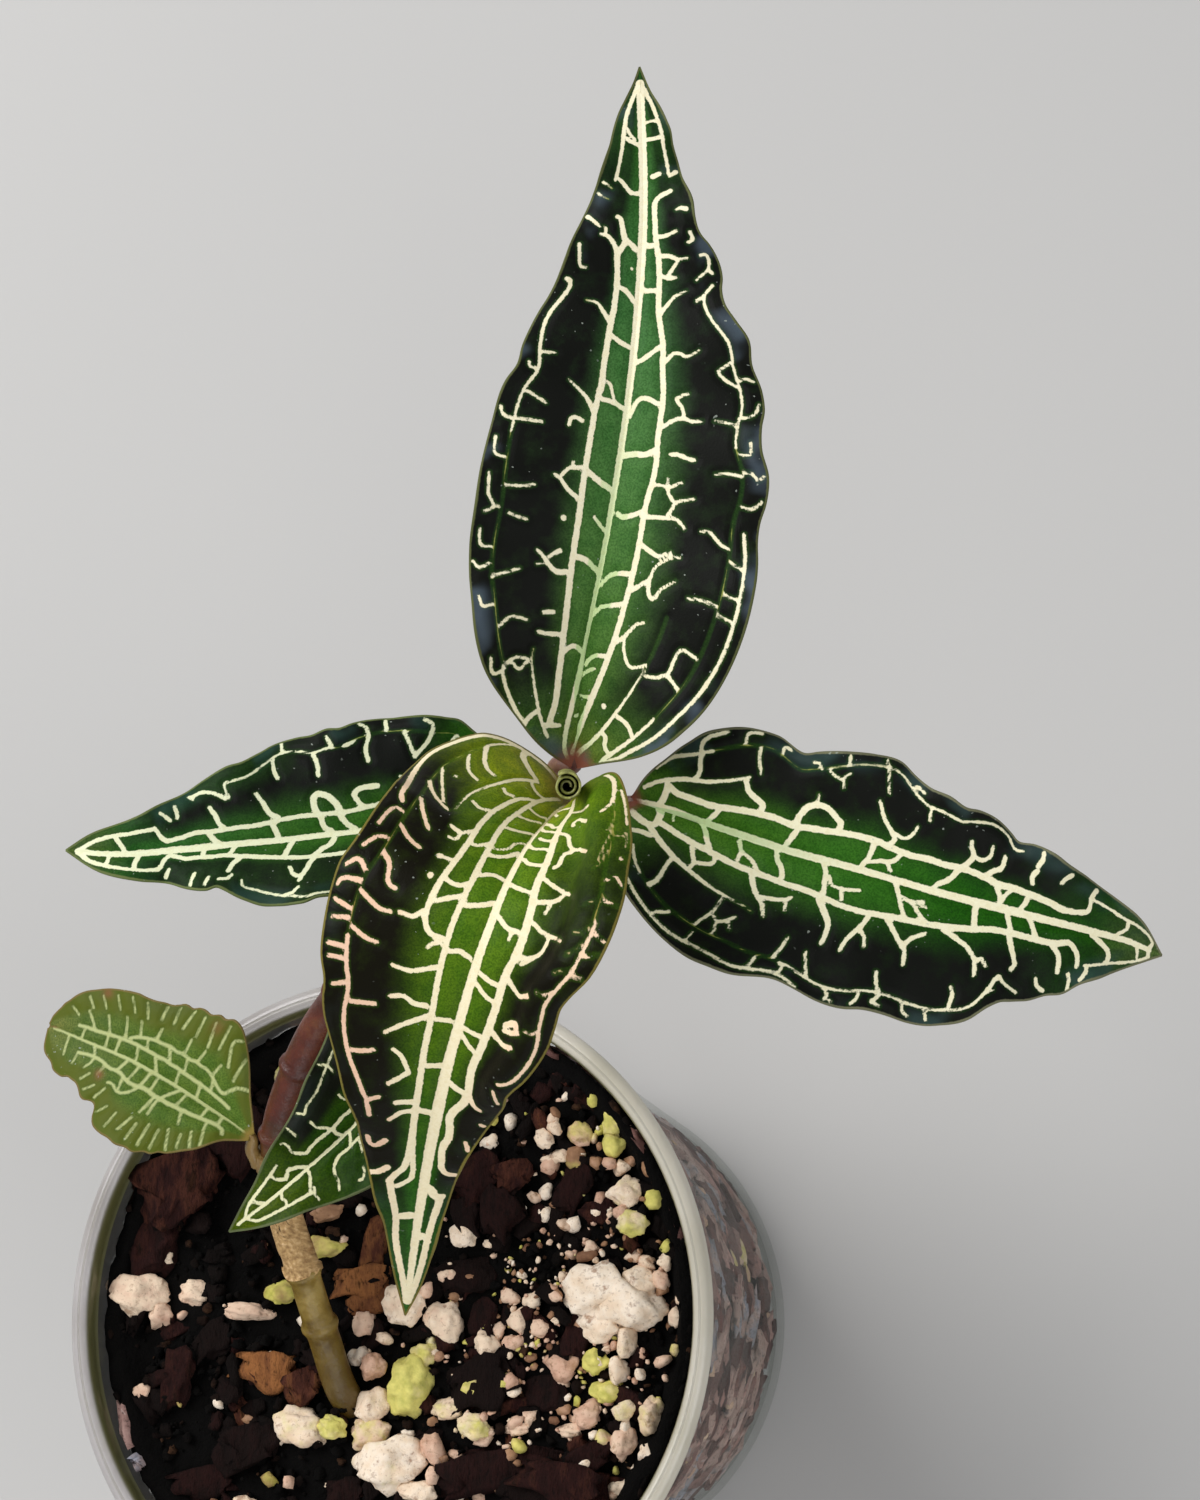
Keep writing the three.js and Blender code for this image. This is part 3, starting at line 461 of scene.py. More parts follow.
# Stones in plain view: x, y, length and width in millimetres, tone, and moss where there is some.
# Tone runs from brown at 0 over pinkish brown to white at 1; moss 1 is wholly green. The cuts make a
# stone smaller than its ball, so it is laid a little larger than its size.
stone_scale = 0.00106
for x, y, length, width, tone, *moss in (
    (26.2, 2.8, 8.4, 6.8, 0.95), (30.2, 1.2, 8.6, 7.4, 0.93), (26.6, -1.0, 6.4, 4.6, 0.92),
    (31.6, 3.4, 5.4, 4.4, 0.90), (-35.4, 2.7, 7.6, 5.2, 0.80), (-28.1, 3.0, 4.5, 3.2, 0.80),
    (-32.5, 0.1, 2.9, 3.7, 0.70), (-20.2, 0.6, 6.6, 2.4, 0.72), (-32.2, 7.5, 3.0, 2.5, 0.85, 0.15),
    (-34.8, -9.6, 2.9, 2.4, 0.68), (12.1, 21.5, 2.7, 2.0, 0.98), (19.8, 21.8, 2.2, 2.6, 0.85),
    (21.5, 19.7, 2.4, 2.1, 0.82), (20.1, 19.2, 2.2, 1.6, 0.80), (21.2, 23.1, 1.6, 2.3, 0.85),
    (24.2, 22.3, 3.0, 3.1, 0.60, 0.4), (28.5, 23.5, 3.3, 3.6, 0.80, 0.7), (28.8, 20.9, 3.0, 3.1, 0.80, 0.7),
    (31.8, 20.1, 1.9, 2.6, 0.80, 0.6), (29.5, 18.1, 2.3, 1.9, 0.85), (19.4, 15.3, 2.5, 2.3, 0.95),
    (19.3, 12.5, 1.8, 2.3, 0.95), (30.2, 15.0, 4.3, 3.9, 0.88, 0.25), (31.2, 11.1, 3.8, 3.3, 0.85, 0.55),
    (34.2, 14.1, 3.0, 2.8, 0.70, 0.9), (27.6, 13.7, 2.2, 1.3, 0.85), (23.6, 19.2, 2.7, 2.9, 0.35, 0.3),
    (9.1, 9.9, 3.2, 3.3, 0.92), (12.3, 8.8, 1.9, 1.2, 0.90), (-9.4, 12.9, 4.5, 2.1, 0.40),
    (-9.6, 8.6, 4.8, 3.2, 0.40, 0.5), (-15.2, 2.9, 4.3, 3.2, 0.40, 0.6), (-4.4, -0.8, 2.8, 3.9, 0.70),
    (1.4, 1.5, 5.6, 4.7, 0.88), (6.3, -0.8, 4.5, 5.6, 0.84), (11.9, -3.8, 3.3, 4.1, 0.86),
    (3.8, -5.0, 3.5, 3.0, 0.80, 0.55), (1.8, -8.6, 5.7, 6.9, 0.88, 0.75), (-3.0, -6.3, 3.2, 3.6, 0.55),
    (-3.2, -11.6, 4.3, 4.6, 0.85), (-12.6, -13.9, 6.5, 4.8, 0.86, 0.3), (-8.1, -13.9, 3.9, 2.9, 0.80, 0.65),
    (-3.5, -14.8, 5.6, 4.1, 0.75, 0.4), (7.0, -11.6, 5.2, 2.9, 0.82, 0.4),
    (10.7, -13.7, 3.8, 3.1, 0.85, 0.45), (21.7, -6.0, 5.1, 4.1, 0.55), (26.5, -5.9, 3.5, 3.1, 0.70, 0.9),
    (29.1, -6.8, 2.7, 3.5, 0.92), (27.8, -9.4, 4.2, 3.3, 0.75, 0.75), (30.3, -3.4, 2.2, 4.3, 0.86, 0.15),
    (24.9, -12.3, 4.3, 3.8, 0.62), (30.2, -11.8, 2.9, 2.5, 0.85, 0.3), (33.6, -12.3, 3.2, 4.5, 0.76, 0.3),
    (33.1, -17.0, 3.0, 3.0, 0.92), (29.8, -15.8, 3.2, 3.8, 0.70), (16.1, -14.0, 3.9, 1.8, 0.75),
    (22.6, -14.2, 4.0, 1.8, 0.75), (27.4, -15.3, 2.1, 2.5, 0.70, 0.6), (-0.3, -18.6, 8.6, 6.6, 0.92, 0.2),
    (5.2, -16.7, 2.7, 5.1, 0.62), (3.1, -21.6, 5.2, 3.0, 0.86), (29.3, -21.1, 3.2, 2.5, 0.85),
    (32.5, -21.5, 2.6, 2.0, 0.85, 0.1), (36.8, -0.5, 2.4, 2.5, 0.88), (34.7, 4.1, 2.1, 2.5, 0.70),
    (37.3, 2.1, 1.6, 2.5, 0.80), (16.3, -0.9, 3.0, 3.1, 0.80), (15.0, 2.2, 2.4, 2.1, 0.72),
    (18.0, 1.7, 2.5, 2.1, 0.85), (19.1, -1.7, 2.7, 2.3, 0.70), (16.1, -3.4, 2.2, 1.8, 0.60),
    (13.3, -1.9, 2.0, 2.1, 0.70), (35.2, 6.4, 2.1, 2.2, 0.86), (32.6, 6.4, 2.4, 1.8, 0.75),
    (30.9, 7.2, 2.1, 1.7, 0.80), (31.9, -0.6, 2.7, 2.0, 0.40), (-20.0, -24.0, 4.0, 3.2, 0.80, 0.2),
    (-10.0, -29.0, 5.0, 4.0, 0.60), (8.0, -32.0, 4.0, 3.4, 0.85, 0.5), (20.0, -29.0, 5.0, 4.0, 0.80),
    (-8.0, 33.0, 4.0, 3.0, 0.55), (6.0, 34.0, 4.4, 3.4, 0.85, 0.3), (-24.0, 26.0, 4.0, 3.0, 0.80),
    (-16.0, 31.0, 3.0, 2.6, 0.90, 0.6),
):
    patterns = stones if length > 3.1 else pebbles
    size = (length * stone_scale, width * stone_scale, width * 0.00085)
    spot = spot_in_pot(math.hypot(x, y) * mm, math.atan2(y, x), length * 0.00045, width * 0.00012)
    tilt = (draw.uniform(-0.3, 0.3), draw.uniform(-0.3, 0.3))
    turn = draw.choice((0, math.pi)) + draw.uniform(-0.3, 0.3)
    lay("pumice_and_grit", patterns, size, spot, spin(*tilt, turn), tone, *moss)

# Loose grit between them, thicker and paler towards the right, and the finest of it near the large
# lump of pumice that shed it.
coarse_count, fine_count = 800, 350
for number in range(coarse_count + fine_count):
    fine = number >= coarse_count
    radius, angle = anywhere(0.0385)
    x, y = radius * math.cos(angle), radius * math.sin(angle)
    if fine:
        x, y = draw.gauss(0.021, 0.007), draw.gauss(0.001, 0.0075)
        radius, angle = math.hypot(x, y), math.atan2(y, x)
    crowd = 0.12 + 0.88 * min(1, max(0, (x + 0.010) / 0.032))
    if radius > 0.039 or draw.random() > crowd or (Vector((x, y)) - stem_hole).length < 0.0032:
        continue
    length = 0.0005 + 0.0007 * draw.random() if fine else 0.0008 + 0.0022 * draw.random() ** 2.2
    tone = draw.choice((0.25, 0.4, 0.55, 0.62, 0.7, 0.8, 0.88, 0.95))
    moss = draw.uniform(0.4, 0.9) if draw.random() < 0.16 else 0.0
    size = (length, length * draw.uniform(0.6, 0.95), length * draw.uniform(0.5, 0.8))
    spot = spot_in_pot(radius, angle, length / 2, draw.uniform(-0.0002, 0.0007))
    turn = spin(draw.random() * 3, draw.random() * 3, draw.random() * 6.3)
    lay("pumice_and_grit", grit if length > 0.0011 else specks, size, spot, turn, tone, moss)

# Bark in plain view: x, y, length, width and height in millimetres, turn in degrees, tone.
bark_scale = 0.00112
for x, y, length, width, height, turn, tone in (
    (-31.2, 16.6, 10, 7, 4.5, 25, 0.70), (-33.5, 9.4, 7.6, 5.0, 3.0, 80, 0.62),
    (-17.6, -6.8, 7.4, 4.4, 3.0, -12, 0.98), (-12.4, -8.9, 3.9, 3.4, 2.4, 30, 0.80),
    (-29.6, -8.1, 6.3, 3.3, 2.0, 75, 0.62), (10.5, 16.5, 6.4, 4.4, 3.2, 40, 0.62),
    (14.0, 12.9, 5.6, 4.0, 3.2, 75, 0.52), (15.2, 16.9, 4.6, 3.0, 2.6, 20, 0.72),
    (9.6, 12.4, 4.2, 3.0, 2.4, 100, 0.45), (13.4, -19.0, 12, 4.8, 3.6, 10, 0.55),
    (22.2, -20.6, 9.6, 4.4, 3.2, -14, 0.64), (17.6, -22.6, 8, 3.0, 2.6, 5, 0.42),
    (25.4, -17.6, 5, 2.8, 2.2, 30, 0.58), (11.4, -0.4, 3.6, 3.0, 2.0, 80, 0.55),
    (8.6, 4.8, 6.1, 3.6, 2.0, 5, 0.45), (23.9, -2.6, 4.6, 3.2, 2.6, 70, 0.62),
    (23.2, 15.6, 4.8, 3.2, 2.4, 55, 0.58), (26.4, 12.6, 3.8, 2.6, 2.0, 10, 0.68),
    (-4.4, 4.2, 6.8, 3.4, 1.8, 8, 0.93), (-3.0, 8.2, 6.3, 2.4, 1.8, 80, 0.86),
    (-3.4, 1.8, 5.1, 3.0, 1.6, 20, 0.88), (-26.4, -21.1, 8.0, 3.4, 2.4, 5, 0.55),
    (-6.6, -21.9, 4.2, 2.8, 2.0, 10, 0.50), (11.5, -8.6, 7.1, 5.6, 2.0, 20, 0.40),
    (19.1, -9.6, 5.0, 3.8, 2.0, 0, 0.50), (-19.7, -16.4, 6.8, 4.1, 2.2, 15, 0.45),
    (-22.0, 22.0, 8.0, 5.0, 3.0, 50, 0.60), (2.0, 26.0, 9.0, 5.0, 3.0, 100, 0.55),
    (-25.0, -3.0, 5.0, 3.2, 1.8, 40, 0.35), (-12.0, 20.0, 6.5, 4.0, 2.4, 10, 0.65),
    (4.0, -29.0, 9.0, 5.0, 2.6, 12, 0.50),
):
    spot = spot_in_pot(math.hypot(x, y) * mm, math.atan2(y, x), length * 0.0005, 0.0001)
    size = (length * bark_scale, width * bark_scale, height * mm)
    lie = spin(draw.uniform(-0.2, 0.2), draw.uniform(-0.2, 0.2), math.radians(turn))
    lay("bark_lumps", lumps, size, spot, lie, tone)
for _ in range(260):
    spot = spot_in_pot(*anywhere(0.0380), 0.0024, draw.uniform(-0.0008, 0.0003))
    if (spot.xy - stem_hole).length < 0.0045:
        continue
    size = (draw.uniform(0.0015, 0.0050), draw.uniform(0.0011, 0.0028), draw.uniform(0.0008, 0.0018))
    turn = spin(draw.uniform(-0.5, 0.5), draw.uniform(-0.5, 0.5), draw.random() * 6.3)
    lay("bark_lumps", flakes, size, spot, turn, 0.15 + 0.65 * draw.random() ** 1.6)

# Peat: crumbs all over the surface, most of them nearly black.
for _ in range(1900):
    radius, angle = anywhere(0.0391)
    length = 0.0007 + 0.0021 * draw.random() ** 2.2
    spot = spot_in_pot(radius, angle, length / 2, draw.uniform(-0.0009, 0.0003))
    size = (length, length * draw.uniform(0.6, 1.0), length * draw.uniform(0.5, 0.9))
    turn = spin(draw.random() * 3, draw.random() * 3, draw.random() * 6.3)
    lay("peat_crumbs", crumbs if length > 0.0014 else dust, size, spot, turn, draw.random() ** 2.2)

# Against the wall: bark lies flat on it, with a piece of pumice for every seven of bark.
for number in range(960):
    z = draw.uniform(0.0066, 0.0712)
    spot, turn = flat_on_wall(z, draw.random() * 2 * math.pi, 0.0009)
    size = (draw.uniform(0.0030, 0.0095), draw.uniform(0.0022, 0.0058), 0.0013)
    if number % 8:
        lay("bark_by_the_wall", flakes, size, spot, turn, draw.random())
    else:
        length = size[1] * 0.8
        size = (length, length * 0.8, 0.0014)
        lay("pumice_and_grit", grit, size, spot, turn, draw.uniform(0.45, 0.95), draw.choice((0, 0, 0.4)))

# Peat banks up against the wall above the bark, in two rows.
for _ in range(520):
    inward = draw.choice((0.0009, 0.0021))
    z = draw.uniform(0.0676, 0.0737 - 0.9 * (inward - 0.0009))
    angle = draw.random() * 2 * math.pi
    length = draw.uniform(0.0016, 0.0034)
    spot, turn = flat_on_wall(z, angle, inward)
    lay("peat_crumbs", dust, (length, length * 0.8, 0.0013), spot, turn, draw.random())

for pattern in stones + pebbles + grit + specks + crumbs + dust + lumps + flakes:
    bpy.data.objects.remove(pattern)
heaps = {}
for name, pieces in scattered.items():
    bpy.ops.object.select_all(action="DESELECT")
    for piece in pieces:
        piece.select_set(True)
    bpy.context.view_layer.objects.active = pieces[0]
    bpy.ops.object.join()
    heaps[name] = start_piece(name)
    settle(heaps[name])


def read_note(tree, name):
    """The number noted under a name on each point."""
    return add_node(tree, "ShaderNodeAttribute", attribute_name=name).outputs["Fac"]


def mix_material(
    name, tones, coarse, stain, stain_from, depth, roughness, grain=(1, 1, 1), pitted=0.6, mossy=False
):
    """A dull earthy surface: a colour by each piece's tone, with darker stains, fine pits and moss."""
    made, tree, shader, place = start_material(name)
    place = stretched(tree, place, grain)
    patches = add_noise(tree, place, coarse, 5, 0.62)
    pits = add_noise(tree, place, 1700, 4, 0.7)
    shade = add_share(tree, read_note(tree, "tone"), add_math(tree, "SUBTRACT", patches, 0.5), 0.62)
    color = add_ramp(tree, shade, tones)
    color = add_mix(tree, add_range(tree, patches, stain_from, stain_from + 0.12, 0.0, 0.75), color, stain)
    # Darker in the low spots of the fine pits, where the bump sinks too.
    pit_darkening = tuple(c * 0.7 for c in stain)
    color = add_mix(tree, add_range(tree, pits, 0.46, 0.34, 0.0, pitted), color, pit_darkening)
    if mossy:
        green = add_mix(tree, add_noise(tree, place, 900, 3), (0.22, 0.25, 0.012), (0.98, 0.86, 0.24))
        spread = add_math(tree, "ADD", add_noise(tree, place, 380, 3), read_note(tree, "moss"))
        color = add_mix(tree, add_range(tree, spread, 0.74, 1.20, 0.0, 0.92), color, green)
    fill(shader, {"Base Color": color, "Roughness": roughness, "Specular IOR Level": 0.12})
    add_bump(tree, shader, add_share(tree, patches, pits, 0.4), depth)
    return made


pumice = mix_material(
    "pumice",
    [
        (0.1, (0.12, 0.05, 0.03)), (0.4, (0.36, 0.20, 0.11)), (0.56, (0.62, 0.38, 0.27)),
        (0.70, (0.74, 0.52, 0.38)), (0.86, (0.82, 0.65, 0.48)), (1.0, (0.92, 0.80, 0.66)),
    ],
    430, (0.30, 0.15, 0.075), 0.565, 0.0003, 0.75, pitted=0.42, mossy=True,
)
orchid_bark = mix_material(
    "orchid_bark",
    [
        (0.0, (0.002, 0.0015, 0.001)), (0.45, (0.008, 0.0035, 0.0028)), (0.65, (0.022, 0.0065, 0.0055)),
        (0.8, (0.080, 0.026, 0.015)), (1.0, (0.30, 0.12, 0.040)),
    ],
    420, (0.004, 0.0022, 0.0018), 0.56, 0.0010, 0.9, grain=(1.5, 0.5, 1),
)
wet_peat = mix_material(
    "wet_peat",
    [
        (0.0, (0.0012, 0.0009, 0.0007)), (0.5, (0.0035, 0.0022, 0.0016)), (0.85, (0.012, 0.0055, 0.0035)),
        (1.0, (0.055, 0.026, 0.013)),
    ],
    700, (0.0014, 0.001, 0.0009), 0.60, 0.0006, 0.95,
)
# The blue-grey at the palest tones is a painted reflection: glare off the clear wall, painted onto the bark
# behind it.
pressed_bark_and_glare = mix_material(
    "pressed_bark_and_glare",
    [
        (0.0, (0.055, 0.025, 0.022)), (0.35, (0.21, 0.10, 0.085)), (0.65, (0.40, 0.24, 0.21)),
        (0.88, (0.54, 0.38, 0.33)), (1.0, (0.30, 0.30, 0.35)),
    ],
    260, (0.040, 0.020, 0.016), 0.58, 0.0006, 0.6, grain=(1, 1, 0.5),
)
heaps["pumice_and_grit"].data.materials.append(pumice)
heaps["bark_lumps"].data.materials.append(orchid_bark)
heaps["peat_crumbs"].data.materials.append(wet_peat)
heaps["bark_by_the_wall"].data.materials.append(pressed_bark_and_glare)
plug.data.materials.append(wet_peat)
for piece in (plug, *heaps.values()):
    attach(piece, "root")
    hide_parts("substrate")


# ---------------------------------------------------------------- stem and roots
# One fleshy stem comes out of the mix, leans over and climbs to the crown. It has a ring at each old
# leaf, rags of papery sheath low down, and thick pale roots under the surface.
def smooth_line(points, step):
    """Points at even steps along a smooth line through the given ones, in millimetres."""
    given = np.array(points, float)
    padded = np.vstack([2 * given[0] - given[1], given, 2 * given[-1] - given[-2]])
    t = np.linspace(0, 1, 60, endpoint=False)[:, None]
    parts = []
    for a, b, c, d in zip(padded, padded[1:], padded[2:], padded[3:]):
        bend, twist = 2 * a - 5 * b + 4 * c - d, 3 * b - a - 3 * c + d
        parts.append(0.5 * (2 * b + (c - a) * t + bend * t**2 + twist * t**3))
    fine = np.vstack(parts + [given[-1:]])
    run = np.r_[0, np.cumsum(np.linalg.norm(np.diff(fine, axis=0), axis=1))]
    even = np.linspace(0, run[-1], max(2, int(round(run[-1] / step))) + 1)
    return np.stack([np.interp(even, run, fine[:, k]) for k in range(3)], 1), run[-1]


def fleshy_tube(name, line, radii, sides):
    """A round tube along a line with its own radius at each point, in millimetres."""
    bpy.ops.object.select_all(action="DESELECT")
    bpy.ops.curve.primitive_nurbs_path_add()
    tube = start_piece(name)
    tube.data.splines.clear()
    spline = tube.data.splines.new("POLY")
    spline.points.add(len(line) - 1)
    for point, where, radius in zip(spline.points, line, radii):
        point.co = (*(where * mm), 1)
        point.radius = radius * mm
    tube.data.bevel_depth = 1.0
    tube.data.bevel_resolution = sides // 2
    tube.data.use_fill_caps = True
    bpy.ops.object.convert(target="MESH")
    settle(tube)
    return tube


stem_points = [
    (-4.6, -16.0, 53), (-5.8, -13.4, 63), (-6.8, -9.9, 72), (-7.7, -3.1, 77), (-8.0, 4.0, 83),
    (-8.5, 13.1, 90), (-7.2, 20.6, 96), (-3.2, 26.7, 102), (3.2, 33.6, 109), (13.8, 40.9, 118),
    (25.3, 46.7, 127), (36.5, 50.7, 137), (43.3, 51.6, 147),
]
stem_rings = (78.5, 84, 90.5, 96.5, 104, 112, 120, 127.5)
stem_foot_radius = 2.15
stem_top_radius = 1.5
stem_line, stem_length = smooth_line(stem_points, 0.35)
share = np.linspace(0, 1, len(stem_line))
ring_shares = [share[np.abs(stem_line[:, 2] - z).argmin()] for z in stem_rings]


def stem_radius(u):
    """The stem slims towards the crown, and swells and is creased at each ring."""
    swell = sum(0.42 * np.exp(-(((u - s) * stem_length / 0.75) ** 2)) for s in ring_shares)
    crease = sum(0.20 * np.exp(-(((u - s) * stem_length - 0.75) ** 2) / 0.03) for s in ring_shares)
    return stem_foot_radius + (stem_top_radius - stem_foot_radius) * u + swell - crease


stem = fleshy_tube("leaning_stem", stem_line, stem_radius(share), 16)
stem_skin, tree, shader, place = start_material("stem_skin")
climb = add_node(tree, "ShaderNodeSeparateXYZ", {"Vector": place}).outputs["Z"]
blotches = add_noise(tree, place, 260, 4)
low_high = add_range(tree, add_share(tree, climb, blotches, 0.02), 0.097, 0.110)
ochres = [(0.3, (0.080, 0.042, 0.003)), (0.5, (0.195, 0.125, 0.017)), (0.7, (0.335, 0.235, 0.062))]
wines = [(0.3, (0.036, 0.006, 0.003)), (0.6, (0.100, 0.019, 0.008)), (0.8, (0.155, 0.052, 0.016))]
low = add_ramp(tree, blotches, ochres)
low = add_mix(tree, add_range(tree, climb, 0.0735, 0.083, 0.15, 1.0), (0.060, 0.030, 0.001), low)
high = add_ramp(tree, blotches, wines)
fill(shader, {
    "Base Color": add_mix(tree, low_high, low, high), "Roughness": 0.42,
    "Subsurface Weight": 0.12, "Subsurface Radius": (0.002, 0.001, 0.0005),
})
add_bump(tree, shader, add_noise(tree, stretched(tree, place, (1, 1, 0.2)), 1400, 4), 0.0002)
stem.data.materials.append(stem_skin)

root_skin, tree, shader, place = start_material("root_skin")
pale = add_ramp(tree, add_noise(tree, place, 500, 4), [(0.3, (0.20, 0.17, 0.10)), (0.7, (0.50, 0.46, 0.34))])
fill(shader, {"Base Color": pale, "Roughness": 0.7})
add_bump(tree, shader, add_noise(tree, place, 2500, 3), 0.0002)
root_paths = (
    [(-4.6, -15.9, 54), (-1.0, -19.0, 46), (6.0, -20.0, 34), (12.0, -16.0, 20)],
    [(-4.8, -15.6, 55), (-10.0, -19.0, 49), (-18.0, -17.0, 38), (-22.0, -9.0, 24)],
    [(-5.0, -15.0, 57), (-4.0, -9.0, 50), (-6.0, 2.0, 38), (-12.0, 14.0, 25)],
    [(-5.4, -14.4, 60), (2.0, -12.0, 55), (12.0, -4.0, 46), (18.0, 8.0, 32)],
    [(-4.6, -16.0, 53.4), (-5.5, -20.0, 44), (-7.0, -24.0, 30), (-4.0, -26.0, 14)],
)
for number, points in enumerate(root_paths, 1):
    line = smooth_line(points, 1.2)[0]
    root = fleshy_tube("root_%d" % number, line, 1.35 - 0.45 * np.linspace(0, 1, len(line)), 8)
    root.data.materials.append(root_skin)
    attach(root, "root")
    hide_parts("stem")

dry_sheath, tree, shader, place = start_material("dry_sheath")
fibres = add_noise(tree, stretched(tree, place, (3, 3, 0.4)), 700, 5)
straws = [(0.3, (0.24, 0.13, 0.045)), (0.55, (0.50, 0.31, 0.125)), (0.75, (0.72, 0.49, 0.26))]
rotten = add_range(tree, add_noise(tree, place, 240, 3), 0.52, 0.64, 0.0, 0.8)
straw = add_mix(tree, rotten, add_ramp(tree, fibres, straws), (0.24, 0.11, 0.030))
fill(shader, {"Base Color": straw, "Roughness": 0.8})
add_bump(tree, shader, fibres, 0.0003)
sheath_low, sheath_high = 84.1, 89.9
wrapped = (stem_line[:, 2] >= sheath_low) & (stem_line[:, 2] <= sheath_high)
sleeve_line = stem_line[wrapped]
sleeve = fleshy_tube("papery_sheath", sleeve_line, stem_radius(share[wrapped]) + 0.15, 24)
sleeve_way = Vector(sleeve_line[-1] - sleeve_line[0]).normalized()
for vertex in sleeve.data.vertices:
    from_end = min(vertex.co.z - sheath_low * mm, sheath_high * mm - vertex.co.z)
    torn = noise.noise(vertex.co * 700) * max(0.0, 1 - from_end / 0.0016)
    vertex.co += sleeve_way * (0.0022 * torn) + noise.noise_vector(vertex.co * 420) * 0.00022
sleeve.data.materials.append(dry_sheath)
for piece in (sleeve, stem):
    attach(piece, "root")
    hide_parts("stem")


# ---------------------------------------------------------------- top leaf
# The long leaf at the top. Like all of them it is a thin velvety blade on a short reddish stalk that
# clasps the stem. Cream veins make a net on a green middle, and the rest is almost black.
stations = [0, 0.04, 0.1, 0.18, 0.28, 0.38, 0.48, 0.58, 0.68, 0.78, 0.87, 0.94, 1]
plain_fold = [
    (0, 42, 42, -8, -42), (0.12, 33, 33, -8, -26), (0.3, 22, 22, -8, -8), (0.6, 14, 14, -8, 6),
    (1, 6, 6, 0, 20),
]


def along(places, values, u):
    """A smooth line through values given at rising places."""
    places, values = np.array(places, float), np.array(values, float)
    gaps = np.diff(places)
    rises = np.diff(values) / gaps
    between = (rises[:-1] * gaps[1:] + rises[1:] * gaps[:-1]) / (gaps[1:] + gaps[:-1])
    slopes = np.r_[rises[0], between, rises[-1]]
    u = np.clip(u, places[0], places[-1])
    i = np.clip(np.searchsorted(places, u, side="right") - 1, 0, len(gaps) - 1)
    t = (u - places[i]) / gaps[i]
    return (
        (2 * t**3 - 3 * t**2 + 1) * values[i] + (t**3 - 2 * t**2 + t) * gaps[i] * slopes[i]
        + (3 * t**2 - 2 * t**3) * values[i + 1] + (t**3 - t**2) * gaps[i] * slopes[i + 1]
    )


def ease(x):
    """A smooth step from 0 to 1."""
    x = np.clip(x, 0, 1)
    return x * x * (3 - 2 * x)


def half_width(leaf, u, v):
    """Width from the midrib to the margin in millimetres, with the margin's own small scallops, which
    are pairs of a place in hundredths of the length and a depth in hundredths of a millimetre."""
    half = np.where(v < 0, along(stations, leaf["left"], u), along(stations, leaf["right"], u))
    for side, key in ((-1, "left_edge"), (1, "right_edge")):
        if key in leaf:
            edge = np.array(leaf[key]) / 100
            half = half + (np.sign(v) == side) * along(edge[:, 0], edge[:, 1], u)
    return half


def blade_point(leaf, u, v):
    """A point of the blade in millimetres: u from stalk to tip, v from -1 at the left margin to 1."""
    u, v = np.broadcast_arrays(np.asarray(u, float), np.asarray(v, float))
    line = leaf["line"]
    last = len(line) - 1
    x = np.clip(u * last, 0, last)
    i = np.minimum(x.astype(int), last - 1)
    t = (x - i)[..., None]
    spot = line[i] * (1 - t) + line[i + 1] * t
    tangent = line[np.minimum(i + 4, last)] - line[np.maximum(i - 4, 0)]
    tangent /= np.linalg.norm(tangent, axis=-1, keepdims=True)
    face = np.array(leaf["face"], float)
    upward = np.stack([along(face[:, 0], face[:, k], u) for k in (1, 2, 3)], -1)
    upward -= (upward * tangent).sum(-1, keepdims=True) * tangent
    upward /= np.linalg.norm(upward, axis=-1, keepdims=True)
    across = np.cross(tangent, upward)

    fold = np.array(leaf["fold"], float)
    left_slope, right_slope, curl, sweep = (along(fold[:, 0], fold[:, k], u) for k in (1, 2, 3, 4))
    side, m = np.sign(v), np.abs(v)
    half = half_width(leaf, u, v)
    slope = np.where(v < 0, left_slope, right_slope)
    ridge = 0
    if "left_ridge" in leaf:
        start, end, extra = leaf["left_ridge"]
        ridge = np.where(v < 0, extra * ease((u - start) / 0.12) * ease((end - u) / 0.15), 0)
    out, rise = np.zeros_like(m), np.zeros_like(m)
    slices = 24
    for k in range(slices):
        q = (k + 0.5) / slices * m
        angle = np.radians(slope + curl * q + ridge * ease(1 - np.abs(q - 0.62) / 0.22))
        out += np.cos(angle) * m / slices
        rise += np.sin(angle) * m / slices
    turn = np.radians(sweep) * m
    height, waves, begin = leaf["wave"]
    fading = ease(u / 0.2) * ease((1 - u) / 0.25) * m**3
    wave = height * fading * np.sin(2 * math.pi * waves * u + begin + side * 1.1)
    aside = across * (side * np.cos(turn))[..., None] + tangent * np.sin(turn)[..., None]
    return spot + aside * (half * out)[..., None] + upward * (half * rise + wave)[..., None]


